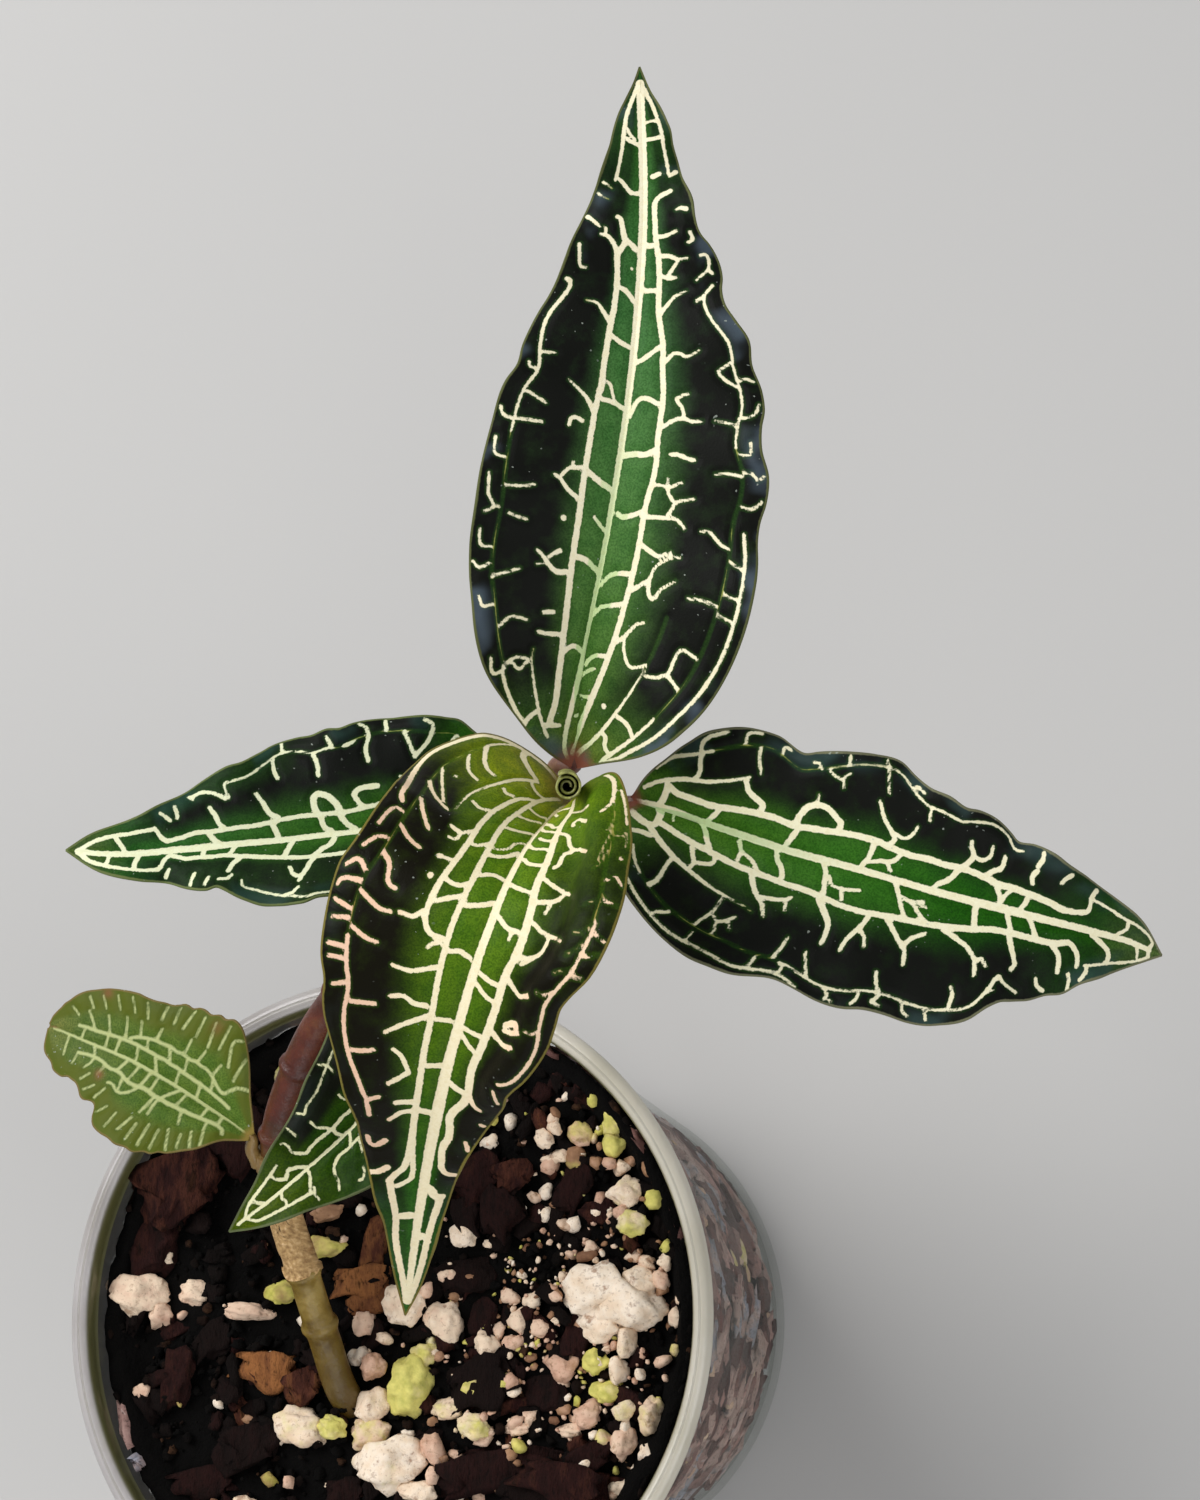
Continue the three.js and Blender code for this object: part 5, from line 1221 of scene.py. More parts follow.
right_veins = [
    # midrib, the inner veins and the long veins inside each margin
    (90, 100, 0, -20, 50, -15, 100, -9, 150, -4.5, 250, -3), (100, 85, 250, -3, 400, -2.5, 500, -1),
    (85, 100, 500, -1, 600, 0, 700, -2), (100, 65, 700, -2, 780, -4, 850, -8, 900, -13),
    (65, 50, 900, -13, 950, -15, 1000, 0), (75, 70, -20, 80, -35, 90, -50, 95, -60),
    (75, 65, 95, -58, 105, -45, 120, -37, 150, -30, 180, -26.5, 250, -27, 300, -28.5, 400, -30, 480, -29),
    (65, 70, 480, -29, 520, -30, 560, -32.5, 630, -33.5, 700, -33.5, 760, -33.5, 785, -30, 800, -29),
    (60, 45, 800, -29, 820, -34, 835, -42, 835, -55, 830, -68),
    (70, 30, 50, -80, 80, -72, 110, -64, 140, -57.5, 170, -53, 200, -53, 225, -55, 240, -57),
    (45, 35, 90, -98, 120, -95, 140, -89, 170, -84, 190, -82.5),
    (20, 190, -82.5, 230, -84, 270, -86, 300, -84, 330, -84, 370, -86),
    (25, 35, 370, -86, 410, -90, 450, -91, 480, -90, 500, -87),
    (40, 500, -87, 525, -83.5, 560, -84, 600, -87, 630, -92, 655, -93, 670, -89, 680, -86.5, 690, -87),
    (45, 50, 150, -59.5, 160, -66, 165, -76, 172, -83), (45, 35, 172, -84, 178, -92, 190, -95, 217, -96.5),
    (90, 70, 65, 0, 75, 10, 80, 20, 85, 30, 85, 38, 75, 45, 60, 55, 45, 65),
    (70, 60, 85, 27, 110, 25, 150, 24, 200, 22.5, 250, 23, 300, 23, 350, 25, 400, 27.5, 450, 29, 500, 29),
    (65, 500, 29, 550, 27, 600, 25, 650, 23.5, 700, 23.5, 740, 24, 770, 26.5, 790, 27.5, 810, 24.5),
    (60, 45, 810, 24.5, 820, 24, 830, 35, 835, 50, 832, 68),
    (80, 55, 30, 75, 50, 60, 65, 50, 80, 44, 100, 44.5, 150, 46),
    (55, 15, 150, 46, 200, 46, 250, 47.5, 290, 49, 310, 52), (60, 75, 75, 85, 60, 100, 50),
    (35, 25, 100, 78, 130, 80, 150, 80), (14, 150, 80, 200, 80, 250, 78.5, 300, 79, 340, 82, 370, 86),
    (36, 40, 370, 86, 410, 88, 440, 88.5, 490, 87),
    (42, 490, 87, 520, 86, 560, 86, 600, 87.5, 630, 89, 660, 90, 680, 86, 690, 86),
    (44, 46, 90, 95, 140, 93, 200, 93.5, 240, 93, 280, 91, 320, 94, 370, 95, 400, 98),
    # rungs
    (60, 55, 187, -24, 178, -17, 165, -8), (60, 55, 330, -26, 322, -17, 313, -6),
    (60, 50, 460, -27, 457, -15, 450, -8, 445, -3), (40, 460, -11, 475, -14, 488, -15, 497, -9),
    (40, 45, 488, -15, 500, -20, 507, -28), (60, 50, 605, -30, 595, -18, 580, -10, 575, -5),
    (50, 675, -29, 685, -18, 690, -6), (40, 700, -30, 693, -20, 690, -10),
    (50, 730, -30, 730, -20, 725, -8), (40, 35, 910, -68, 915, -50, 910, -35, 905, -25),
    (30, 98, 1, 100, 6, 105, 12), (50, 55, 155, 1, 170, 8, 180, 14, 195, 20),
    (45, 40, 232, 4, 243, 10, 248, 19), (35, 40, 245, 11, 265, 14, 280, 18, 285, 21),
    (50, 55, 300, 0, 308, 8, 320, 13, 328, 20), (50, 385, 1, 393, 8, 396, 16, 400, 25),
    (35, 400, 10, 410, 16, 430, 16.5, 445, 15, 455, 14.5), (40, 425, 16.5, 430, 24),
    (50, 40, 510, 2, 520, 10, 528, 18, 537, 25), (35, 40, 525, 11, 545, 14, 560, 20, 575, 25),
    (30, 540, 12.5, 550, 12, 565, 10), (30, 555, 13, 570, 14), (60, 652, 2, 652, 10, 655, 21),
    (50, 55, 705, 2, 710, 10, 717, 21), (50, 55, 745, 2, 752, 10, 760, 22),
    (60, 50, 860, 0, 875, 12, 890, 28, 893, 45, 890, 62, 885, 68), (35, 30, 948, -10, 950, 30, 948, 70),
    # the loop at the tip
    (40, 45, 845, 69, 870, 70, 900, 70, 930, 75, 960, 75, 975, 50, 985, 0),
    (40, 45, 832, -68, 870, -70, 900, -70, 940, -78, 965, -80, 980, -50, 985, 0),
    # spurs
    (70, 58, 262, -30, 263, -36, 250, -40, 238, -45, 234, -54),
    (70, 58, 325, -31, 330, -40, 340, -48, 357, -52, 375, -50, 390, -43, 400, -38, 398, -31),
    (35, 23, 357, -52, 357, -62), (52, 35, 483, -30, 490, -38, 480, -43, 465, -50, 452, -62),
    (41, 29, 487, -42, 505, -43, 515, -50, 520, -60),
    (58, 41, 610, -35, 617, -43, 620, -50, 612, -58, 607, -65),
    (41, 35, 620, -50, 635, -50, 645, -58, 643, -70), (58, 46, 653, -36, 658, -45, 670, -55, 668, -70),
    (41, 52, 728, -49, 722, -58, 724, -68), (52, 46, 722, -74, 722, -85, 718, -94),
    (46, 58, 769, -70, 770, -80, 775, -88), (52, 58, 830, -68, 830, -78, 832, -87),
    (52, 46, 167, 27, 178, 33, 188, 38, 190, 44), (46, 210, 23, 215, 30, 200, 35, 190, 37),
    (64, 41, 280, 24, 290, 31, 303, 38, 318, 44, 327, 52), (46, 41, 310, 39, 330, 38, 350, 36, 353, 34),
    (35, 348, 38, 352, 45), (75, 46, 395, 29, 410, 38, 420, 45, 420, 55, 418, 60),
    (52, 41, 480, 31, 473, 38, 463, 45, 453, 52, 448, 60), (41, 35, 470, 42, 480, 47, 483, 54),
    (58, 41, 510, 30, 525, 38, 540, 46, 548, 50, 550, 60), (46, 41, 543, 48, 555, 40, 567, 36, 577, 33),
    (58, 41, 605, 27, 630, 33, 648, 39, 660, 48, 663, 55, 663, 65), (41, 35, 663, 52, 673, 52, 680, 60),
    (64, 41, 715, 26, 720, 38, 725, 50, 727, 58, 720, 65), (58, 46, 790, 30, 800, 40, 803, 50, 800, 68),
    # ticks along the left margin, then the right
    (30, 257, -84, 255, -75, 257, -62), (30, 237, -86, 243, -95, 260, -97),
    (30, 290, -85, 293, -93, 305, -95), (30, 345, -91, 355, -90, 357, -85), (30, 397, -97, 397, -89),
    (30, 25, 370, -84, 380, -79, 392, -75, 394, -69), (25, 392, -75, 395, -80, 400, -82),
    (30, 25, 447, -97, 452, -90, 457, -80, 463, -70), (30, 500, -87, 500, -93, 513, -92),
    (30, 530, -83, 534, -70), (40, 50, 157, 49, 163, 60, 170, 70, 170, 79),
    (30, 35, 263, 50, 264, 62, 258, 72, 256, 77), (30, 265, 64, 280, 67, 295, 60), (30, 277, 68, 285, 78),
    (30, 290, 64, 298, 70), (30, 35, 370, 66, 367, 75, 362, 83), (30, 35, 400, 71, 405, 80, 412, 88),
    (35, 40, 510, 71, 513, 80, 520, 86), (35, 40, 630, 71, 632, 78, 627, 88),
    (40, 35, 680, 86, 690, 79, 700, 73, 705, 79, 715, 85, 727, 90), (40, 45, 763, 75, 765, 84, 775, 92),
    (35, 817, 74, 817, 85, 812, 96), (40, 848, 70, 845, 82, 833, 93), (30, 217, 81, 205, 88, 202, 93),
    (30, 260, 83, 261, 91), (30, 343, 84, 340, 93), (30, 370, 86, 376, 90, 372, 95),
    (30, 438, 89, 447, 93, 442, 97), (30, 447, 95, 453, 97), (30, 490, 89, 487, 94, 480, 97),
    (35, 520, 87, 515, 91, 509, 94, 522, 95), (35, 555, 87, 558, 93, 567, 95), (30, 35, 592, 88, 596, 96),
]


def right_tint(u, v):
    """How tinted the veins are: only the midrib, fading over the first half."""
    return (np.abs(v) < 0.12) * (1 - ease((u - 0.12) / 0.36))


blade = grow_blade("leaf_right", right_leaf, right_veins, mostly_dark(0.58, 0.56, 0.05, 0.65), right_tint)
right_velvet = velvet(
    "right_leaf_velvet", (0.0055, 0.0062, 0.0045),
    [
        (0.0, (0.062, 0.150, 0.012)), (0.4, (0.036, 0.142, 0.012)), (0.65, (0.013, 0.088, 0.003)),
        (0.86, (0.012, 0.07, 0.003)), (1.0, (0.10, 0.16, 0.04)),
    ],
    ((0.90, 0.85, 0.60), (0.58, 0.72, 0.38)), (0.16, 0.16, 0.09),
    painted_sheen=(0.040, 0.075, 0.070), painted_sheen_share=0.6,
)
dress("leaf_right", right_leaf, blade, right_velvet)


# ---------------------------------------------------------------- left leaf
# The leaf that points left. The front leaf hides its stalk end, and its veins are paler and greener.
left_leaf = {
    "midrib": [
        (35.2, 52.6, 140.7), (26.2, 49.6, 146.5), (15.8, 48, 150.5), (7.5, 47.1, 153.5), (-0.9, 46.3, 156),
        (-7.1, 46.8, 157),
    ],
    "face": [(0, 0.1, 0.35, 0.92), (0.6, 0.1, 0.35, 0.92), (1, 0.2, 0.1, 0.95)],
    "fold": plain_fold,
    "left": [0.6, 3.6, 6.2, 7.9, 8.8, 9.2, 9.1, 8.3, 5.9, 3.9, 2.6, 1.4, 0.1],
    "right": [0.6, 5.2, 8.8, 10.9, 12.0, 12.2, 11.3, 9.7, 7.4, 5.1, 3.4, 1.9, 0.1],
    "left_edge": [
        (0, 0), (38, 0), (42, 30), (44, 43), (46.5, 85), (50, 54), (53, 8), (55, -10), (58, -50), (60, -63),
        (63, -88), (64, -88), (66, -15), (67.5, 2), (69, 0), (72, -25), (74.5, -50), (76, -47), (78, -23),
        (80, 6), (83, 21), (87, 17), (90, 13), (93, 7), (100, 0),
    ],
    "right_edge": [
        (0, 0), (10, 60), (12, 80), (15, 40), (20, 10), (25, 38), (28, 53), (31, 32), (34, -23),
        (36.5, -78), (39, -60), (42, -60), (45, 0), (48, 27), (50, 16), (53, -41), (57.5, -93), (60, -60),
        (63, -34), (66, -20), (70, -43), (75, -55), (80, -53), (83, -29), (86, -7), (100, 0),
    ],
    "wave": (0.7, 5, 1.1),
    "fine_margin": 0.35,
    "stalk": [(35.0, 52.4, 137.2), (34.4, 53.4, 138.8), (35.2, 52.6, 140.3)],
    "clasp": on_stem(136.8, 138.6),
}
left_veins = [
    # midrib, inner veins and tip loop
    (80, 100, 0, 0, 300, -2, 340, -3.5, 400, -2.5, 500, -3), (100, 500, -3, 600, -3, 700, -5),
    (100, 55, 700, -5, 800, -5, 880, -5, 950, -7, 1000, 0),
    (60, 100, -45, 200, -40, 300, -39, 370, -38.5, 400, -38, 440, -36, 480, -33, 520, -31.5, 570, -29),
    (60, 50, 570, -29, 620, -28, 680, -28, 700, -29, 725, -33),
    (50, 45, 725, -33, 750, -25, 760, -23, 770, -35, 775, -50, 780, -63),
    (50, 50, 30, 250, 22, 300, 20, 360, 19, 420, 20, 500, 19.5),
    (50, 500, 19.5, 600, 20, 660, 20, 700, 23.5, 740, 20, 765, 20),
    (50, 40, 765, 20, 775, 30, 780, 42, 785, 57), (60, 55, 280, 36.5, 320, 37, 335, 34, 328, 26, 315, 20),
    (45, 50, 780, -64, 820, -67, 870, -66, 930, -65, 950, -55, 970, -20),
    (40, 45, 785, 55, 810, 57, 850, 57, 900, 60, 930, 55, 950, 40, 970, 10),
    # rungs
    (70, 65, 435, -33, 420, -26, 400, -20, 390, -10), (60, 503, -28, 495, -18, 485, -8),
    (50, 625, -25, 620, -17, 612, -8), (50, 685, -25, 683, -12), (55, 50, 833, -62, 835, -40, 828, -10),
    (45, 40, 895, -62, 895, -30, 897, -10), (40, 35, 945, -60, 955, -30, 957, 10, 955, 40),
    (60, 340, 2, 355, 7, 365, 12, 372, 18), (60, 55, 395, 3, 410, 8, 416, 18),
    (60, 55, 515, 2, 520, 10, 527, 18), (60, 55, 650, 2, 660, 8, 670, 18),
    (50, 860, 2, 865, 15, 873, 35, 880, 55), (55, 50, 290, -36, 270, -20, 265, -5),
    (50, 190, -38, 180, -18, 175, -5), (50, 240, 2, 255, 10, 265, 20), (50, 140, 2, 150, 12, 165, 24),
    # spurs
    (60, 50, 440, -38, 455, -50, 467, -60, 475, -68), (50, 40, 477, -62, 488, -58, 495, -47),
    (60, 50, 603, -32, 617, -45, 625, -62), (60, 30, 230, -40, 250, -52, 255, -64),
    (60, 30, 345, -40, 355, -52, 350, -66),
    (70, 370, 20, 378, 28, 395, 36, 415, 40, 427, 37, 428, 28, 420, 20),
    (60, 45, 510, 22, 530, 30, 540, 42, 553, 56), (55, 45, 635, 22, 645, 30, 650, 42, 658, 55),
    (60, 40, 200, 24, 210, 34, 225, 44),
    # margins, left then right
    (40, 400, -95, 450, -95, 490, -90, 520, -87, 560, -82, 590, -82, 595, -72),
    (40, 505, -88, 490, -85, 478, -78), (40, 640, -84, 625, -78, 617, -68), (40, 667, -89, 663, -73),
    (40, 700, -92, 697, -67), (40, 760, -85, 757, -65),
    (30, 40, 120, -82, 200, -80, 280, -82, 340, -88, 400, -95), (35, 200, -80, 210, -94),
    (35, 300, -83, 290, -70), (40, 193, 61, 170, 75, 167, 90, 187, 96), (40, 193, 62, 213, 78, 223, 85),
    (45, 40, 263, 87, 270, 97), (45, 40, 300, 60, 307, 72, 302, 82, 310, 92, 325, 97),
    (45, 40, 412, 58, 413, 70, 420, 80),
    (35, 40, 380, 81, 420, 81.5, 450, 84, 480, 86, 520, 84, 560, 81, 600, 79.5, 615, 79, 613, 60),
    (45, 40, 500, 62, 505, 70, 505, 83), (40, 380, 82, 390, 92), (40, 480, 86, 480, 97),
    (40, 335, 81, 355, 81), (40, 620, 60, 640, 72, 665, 82, 685, 84), (40, 687, 80, 693, 87),
    (40, 730, 60, 728, 83), (40, 35, 747, 60, 755, 72, 762, 82),
    (20, 80, 84, 160, 84, 240, 86, 310, 84, 380, 81), (40, 35, 110, 62, 120, 74, 115, 84),
]


def left_green(u, v):
    """Like the others, with a trace of green on its lower margin and more on its upper one."""
    low_margin = 0.16 * (v < 0) * ease((u - 0.30) / 0.12)
    high_margin = 0.28 * (v > 0) * ease((u - 0.42) / 0.12) * ease((v - 0.55) / 0.3)
    return np.maximum.reduce([mostly_dark(0.55, 0.55, 0.08, 0.75)(u, v), low_margin, high_margin])


blade = grow_blade("leaf_left", left_leaf, left_veins, left_green)
left_velvet = velvet(
    "left_leaf_velvet", (0.0050, 0.0058, 0.0042),
    [
        (0.0, (0.030, 0.12, 0.006)), (0.5, (0.030, 0.106, 0.012)), (0.75, (0.028, 0.118, 0.019)),
        (0.85, (0.020, 0.095, 0.012)), (1.0, (0.08, 0.12, 0.02)),
    ],
    ((0.80, 0.82, 0.56), (0.60, 0.70, 0.40)), (0.12, 0.15, 0.05),
    painted_sheen=(0.030, 0.075, 0.060), painted_sheen_share=0.5,
)
dress("leaf_left", left_leaf, blade, left_velvet)


# ---------------------------------------------------------------- front leaf
# The youngest open leaf, which arches high over the front of the pot. Its base is still olive and
# yellow, its outer veins are flushed pink, and its left half drops in a steep step inside the margin.
front_clasp = smooth_line([(43.3, 51.6, 147), (44.4, 51.8, 148.6), (45.6, 52.15, 150.6)], 0.2)[0]
front_leaf = {
    "midrib": [
        (46.4, 50, 151), (46.3, 46.9, 158.5), (45.7, 41.8, 167), (43.6, 34.4, 171), (37.4, 22.6, 164),
        (31.1, 12.1, 152), (24.1, -1, 137),
    ],
    "face": [
        (0, 0.1, 0.85, 0.55), (0.12, 0.1, 0.5, 0.85), (0.25, 0.1, 0.1, 1), (0.6, 0.2, -0.35, 0.9),
        (1, 0.25, -0.5, 0.8),
    ],
    "fold": [
        (0, 50, 50, -10, -60), (0.12, 34, 28, -10, -36), (0.3, 12, 8, -10, -8), (0.6, 10, 8, -8, 6),
        (1, 5, 5, 0, 20),
    ],
    "left": [1.2, 3.4, 6.8, 11.0, 14.0, 11.5, 8.9, 6.0, 4.3, 3.7, 2.7, 1.5, 0.1],
    "right": [1.0, 6.6, 12.4, 15.8, 15.9, 15.7, 13.5, 9.9, 6.6, 4.4, 2.6, 1.3, 0.1],
    "left_ridge": (0.02, 0.62, 58),
    "left_edge": [
        (0, 0), (13, 20), (16, 40), (20, 24), (25, 0), (27, -20), (30, 42), (32, 70), (34, 50), (36, -33),
        (37.5, -64), (40, -23), (43, 34), (46, 44), (48, 24), (50, -23), (51.5, -38), (54, 0), (57, 19),
        (59, 20), (62, 0), (64, -20), (66, -40), (70, -50), (75, -74), (80, -86), (85, -70), (90, -45),
        (95, -20), (100, 0),
    ],
    "right_edge": [
        (0, 0), (5, 70), (8, 130), (10, 120), (13, 120), (16, 140), (18, 95), (20, 37), (22, -27),
        (25, -54), (31, -54), (33, -10), (36, 0), (40, -15), (43, -35), (45, -70), (48, -32), (50, -13),
        (53, -20), (56, -36), (59, -48), (61, -75), (63, -70), (65, -33), (67, 0), (75, 0), (80, -28),
        (84, -10), (100, 0),
    ],
    "wave": (0.7, 6, 2.6),
    "stalk": [(45.0, 50.4, 148.2), (45.9, 49.7, 149.6), (46.4, 49.7, 151)],
    "clasp": (front_clasp, 147.5, 149.6, 0.8),
}
front_veins = [
    # midrib
    (50, 70, 0, 5, 50, 3, 100, 1, 150, -1, 200, -1.5), (70, 95, 200, -1.5, 300, -3, 400, -3.5),
    (95, 130, 400, -3.5, 500, -4.5, 600, -6), (130, 100, 600, -6, 700, -6, 800, -4),
    (100, 60, 800, -4, 900, -2, 1000, 0),
    # inner veins left, then right
    (50, 70, 80, -50, 120, -42, 140, -36, 160, -30, 190, -27),
    (70, 85, 190, -27, 230, -26.5, 270, -25, 300, -27, 350, -31),
    (75, 85, 350, -31, 400, -32.5, 450, -33, 500, -36, 530, -40, 555, -45),
    (90, 80, 555, -45, 570, -42, 590, -32, 605, -30, 620, -36, 640, -42),
    (80, 70, 640, -42, 660, -37, 680, -42, 700, -50, 705, -70, 700, -93),
    (45, 55, 30, 22, 80, 20, 130, 19.5, 200, 19.5, 300, 19.5),
    (55, 70, 300, 19.5, 380, 19, 450, 18, 500, 18, 570, 20, 620, 24),
    (70, 620, 24, 680, 27, 710, 35, 720, 45, 735, 64),
    (50, 60, 620, 24, 680, 22, 720, 20, 735, 28, 745, 50),
    (50, 60, 80, 20, 90, 25, 110, 29, 150, 30, 200, 31.5, 250, 33.5, 280, 36),
    (60, 55, 280, 36, 300, 37.5, 330, 37.5, 350, 35.5, 360, 30, 360, 22),
    (50, 20, 50, 50, 70, 48, 100, 47, 130, 48.5, 160, 49.5, 200, 50.5),
    (60, 80, 50, 55, 55, 70, 60, 85, 55, 97), (30, 25, 60, 97, 80, 90, 100, 85),
    (50, 70, 12, 80, 30, 93, 55, 95.5, 80, 96.5, 100, 97),
    (70, 50, 100, 97, 130, 96.5, 170, 95.5, 200, 92, 230, 90, 238, 86),
    # long vein inside the left margin
    (44, 34, 152, -93, 173, -93.5, 187, -92, 203, -87, 209, -78), (27, 24, 192, -96.5, 203, -97, 227, -97),
    (17, 200, -90, 250, -85, 280, -84, 310, -85),
    (30, 36, 310, -87, 330, -86, 360, -85.5, 400, -86, 420, -88, 450, -91, 480, -90, 495, -86, 500, -80),
    # ticks on it, outwards then inwards
    (24, 27, 238, -88, 240, -93, 235, -96, 252, -95.5), (41, 263, -93.5),
    (27, 283, -86, 280, -92, 287, -97), (27, 297, -86, 300, -97), (27, 316, -88, 320, -97),
    (31, 27, 330, -87, 327, -97), (41, 34, 343, -88, 343, -95), (20, 24, 215, -90, 225, -85, 230, -82),
    (24, 225, -87, 240, -83, 250, -80, 265, -78), (24, 20, 255, -83, 268, -80, 272, -76),
    (24, 295, -87, 298, -80, 300, -75), (24, 310, -87, 316, -80, 317, -75),
    (24, 318, -86, 327, -80, 331, -76), (24, 338, -86, 342, -78, 345, -75),
    (27, 24, 360, -85, 367, -80, 368, -74), (27, 24, 410, -86, 417, -82, 418, -76),
    # rungs left of the midrib
    (35, 55, -5, 75, -15, 90, -28, 105, -38), (30, 70, -2, 90, -12, 110, -20),
    (40, 115, -2, 140, -15, 160, -22, 163, -28), (35, 130, -2, 155, -10, 170, -20, 180, -27),
    (35, 40, 178, -10, 190, -17, 198, -26), (40, 190, -2, 205, -10, 210, -20, 215, -27),
    (45, 225, -6, 235, -13, 240, -25), (50, 45, 272, -6, 277, -15, 280, -23),
    (45, 313, -6, 322, -15, 323, -25), (40, 35, 323, -20, 333, -20), (55, 383, -10, 387, -20, 388, -30),
    (50, 397, -9, 407, -20, 410, -29), (50, 460, -10, 462, -20, 462, -30),
    (50, 470, -10, 480, -20, 487, -30), (70, 545, -13, 550, -25, 552, -40),
    (100, 90, 747, -15, 745, -30, 755, -45, 755, -68), (100, 90, 840, -15, 835, -40, 840, -60),
    # spurs left
    (30, 135, -42, 160, -55, 185, -68), (40, 200, -63, 185, -55, 170, -48, 170, -42, 178, -42),
    (40, 184, -30, 195, -38, 215, -42, 222, -48), (40, 35, 222, -48, 225, -53, 245, -66),
    (45, 222, -45, 225, -38, 240, -36, 244, -33), (45, 40, 260, -28, 270, -37, 278, -47, 282, -53),
    (45, 50, 280, -47, 287, -42, 290, -30), (35, 287, -40, 300, -37),
    (40, 35, 310, -30, 317, -40, 320, -50, 323, -66), (40, 45, 320, -47, 335, -47, 343, -42, 347, -33),
    (40, 35, 345, -42, 353, -38), (55, 45, 373, -33, 383, -43, 388, -52, 383, -62, 378, -68),
    (80, 70, 420, -65, 425, -55, 433, -47), (45, 50, 425, -70, 435, -60, 440, -48),
    (60, 45, 447, -35, 455, -45, 457, -55, 452, -65, 447, -70), (70, 55, 555, -48, 565, -60, 567, -70),
    (34, 40, 515, -80, 535, -90), (40, 597, -82, 600, -90), (40, 50, 635, -78, 645, -90),
    # loops at the tip
    (75, 60, 760, -65, 830, -60, 900, -55, 950, -40, 1000, 0),
    (75, 60, 735, 62, 800, 62, 850, 65, 900, 55, 950, 35, 1000, 0),
    # rungs right of the midrib, and between the two inner veins
    (35, 100, 4, 107, 10, 105, 18), (40, 120, 4, 130, 10, 137, 17), (45, 160, 3, 170, 10, 178, 18),
    (30, 190, 3, 200, 7, 215, 9, 225, 15), (45, 213, 2, 227, 7, 235, 13, 238, 18),
    (45, 265, 2, 265, 10, 275, 18), (50, 300, 1, 308, 8, 315, 17), (55, 50, 370, 3, 367, 10, 372, 17),
    (55, 50, 458, 4, 462, 15), (60, 55, 525, 3, 530, 15), (80, 70, 605, 3, 603, 20),
    (40, 60, 22, 65, 28, 63, 40, 60, 47), (45, 40, 220, 20, 230, 25, 235, 30),
    (50, 45, 290, 21, 297, 26, 297, 35), (50, 45, 305, 20, 315, 28, 325, 36),
    # spurs right
    (50, 40, 108, 33, 113, 37, 110, 42), (50, 40, 163, 33, 170, 38, 166, 45),
    (45, 40, 215, 33, 225, 38, 228, 40, 227, 48), (35, 230, 40, 240, 41, 242, 46),
    (45, 40, 270, 37, 273, 45), (65, 273, 45.5), (65, 300, 45), (50, 40, 340, 39, 350, 44, 352, 53),
    (45, 35, 365, 22, 370, 27, 377, 30), (55, 40, 395, 20, 405, 30, 412, 38, 413, 50),
    (60, 45, 448, 23, 450, 32, 445, 40, 450, 50), (60, 45, 460, 20, 475, 32, 485, 40, 498, 50),
    (50, 518, 43, 525, 36, 545, 30), (55, 50, 545, 30, 555, 38, 567, 50),
    (70, 60, 590, 22, 592, 35, 595, 45), (60, 50, 605, 25, 610, 40, 623, 56), (110, 100, 800, 22, 800, 45),
    # ticks along the right margin
    (40, 45, 107, 55, 110, 62, 108, 70, 100, 83), (35, 133, 57, 133, 67, 122, 80), (50, 152, 67),
    (30, 200, 60, 180, 67, 158, 78), (35, 40, 208, 55, 202, 65, 195, 72, 185, 78),
    (35, 40, 248, 60, 235, 68, 220, 76), (40, 45, 277, 60, 273, 70, 265, 78),
    (40, 45, 330, 60, 328, 66, 310, 72, 303, 79), (40, 45, 356, 58, 358, 66, 350, 80),
    (40, 45, 395, 62, 395, 70, 390, 80), (45, 50, 465, 60, 468, 70, 470, 78),
    (45, 50, 525, 60, 530, 70, 533, 80), (50, 588, 62, 592, 72, 595, 77, 615, 80),
    (12, 100, 85, 150, 80, 200, 77, 250, 79, 300, 80, 350, 81, 400, 82),
    (39, 45, 400, 82, 450, 81, 500, 83, 540, 84, 570, 80, 590, 77),
    (45, 39, 248, 82, 250, 88, 265, 91, 280, 92), (45, 39, 288, 83, 293, 88, 308, 93),
    (50, 45, 327, 83, 322, 90, 333, 95), (50, 45, 340, 82, 347, 93, 357, 96), (50, 45, 373, 84, 372, 95),
    (45, 39, 383, 83, 390, 95), (50, 45, 413, 84, 415, 95), (50, 45, 425, 84, 427, 94),
    (50, 45, 450, 84, 455, 93), (70, 60, 662, 62, 672, 75, 670, 85, 655, 87),
    (70, 60, 712, 62, 720, 80, 723, 95),
]


def front_green(u, v):
    """Olive all over the base, a green middle that narrows, and a green tip."""
    middle = 1 - ease((np.abs(v) - 0.14) / 0.42)
    fade = np.where(v < 0, 0.24, 0.25 - 0.14 * ease((v - 0.4) / 0.2))
    paler_out = 1 - 0.22 * ease((np.abs(v) - 0.55) / 0.4)
    base = (1 - ease((u - np.where(v < 0, 0.12, 0.075)) / fade)) * paler_out
    return np.maximum.reduce([middle, base, 0.6 * ease((u - 0.70) / 0.12)])


def front_flush(u, v):
    """How pink the veins are: most towards the margins and away from the base."""
    pink = ease((np.abs(v) - 0.35) / 0.35) * ease((u - 0.14) / 0.14) * (1 - 0.8 * ease((u - 0.66) / 0.1))
    return pink * np.where(v > 0, 1, 0.75)


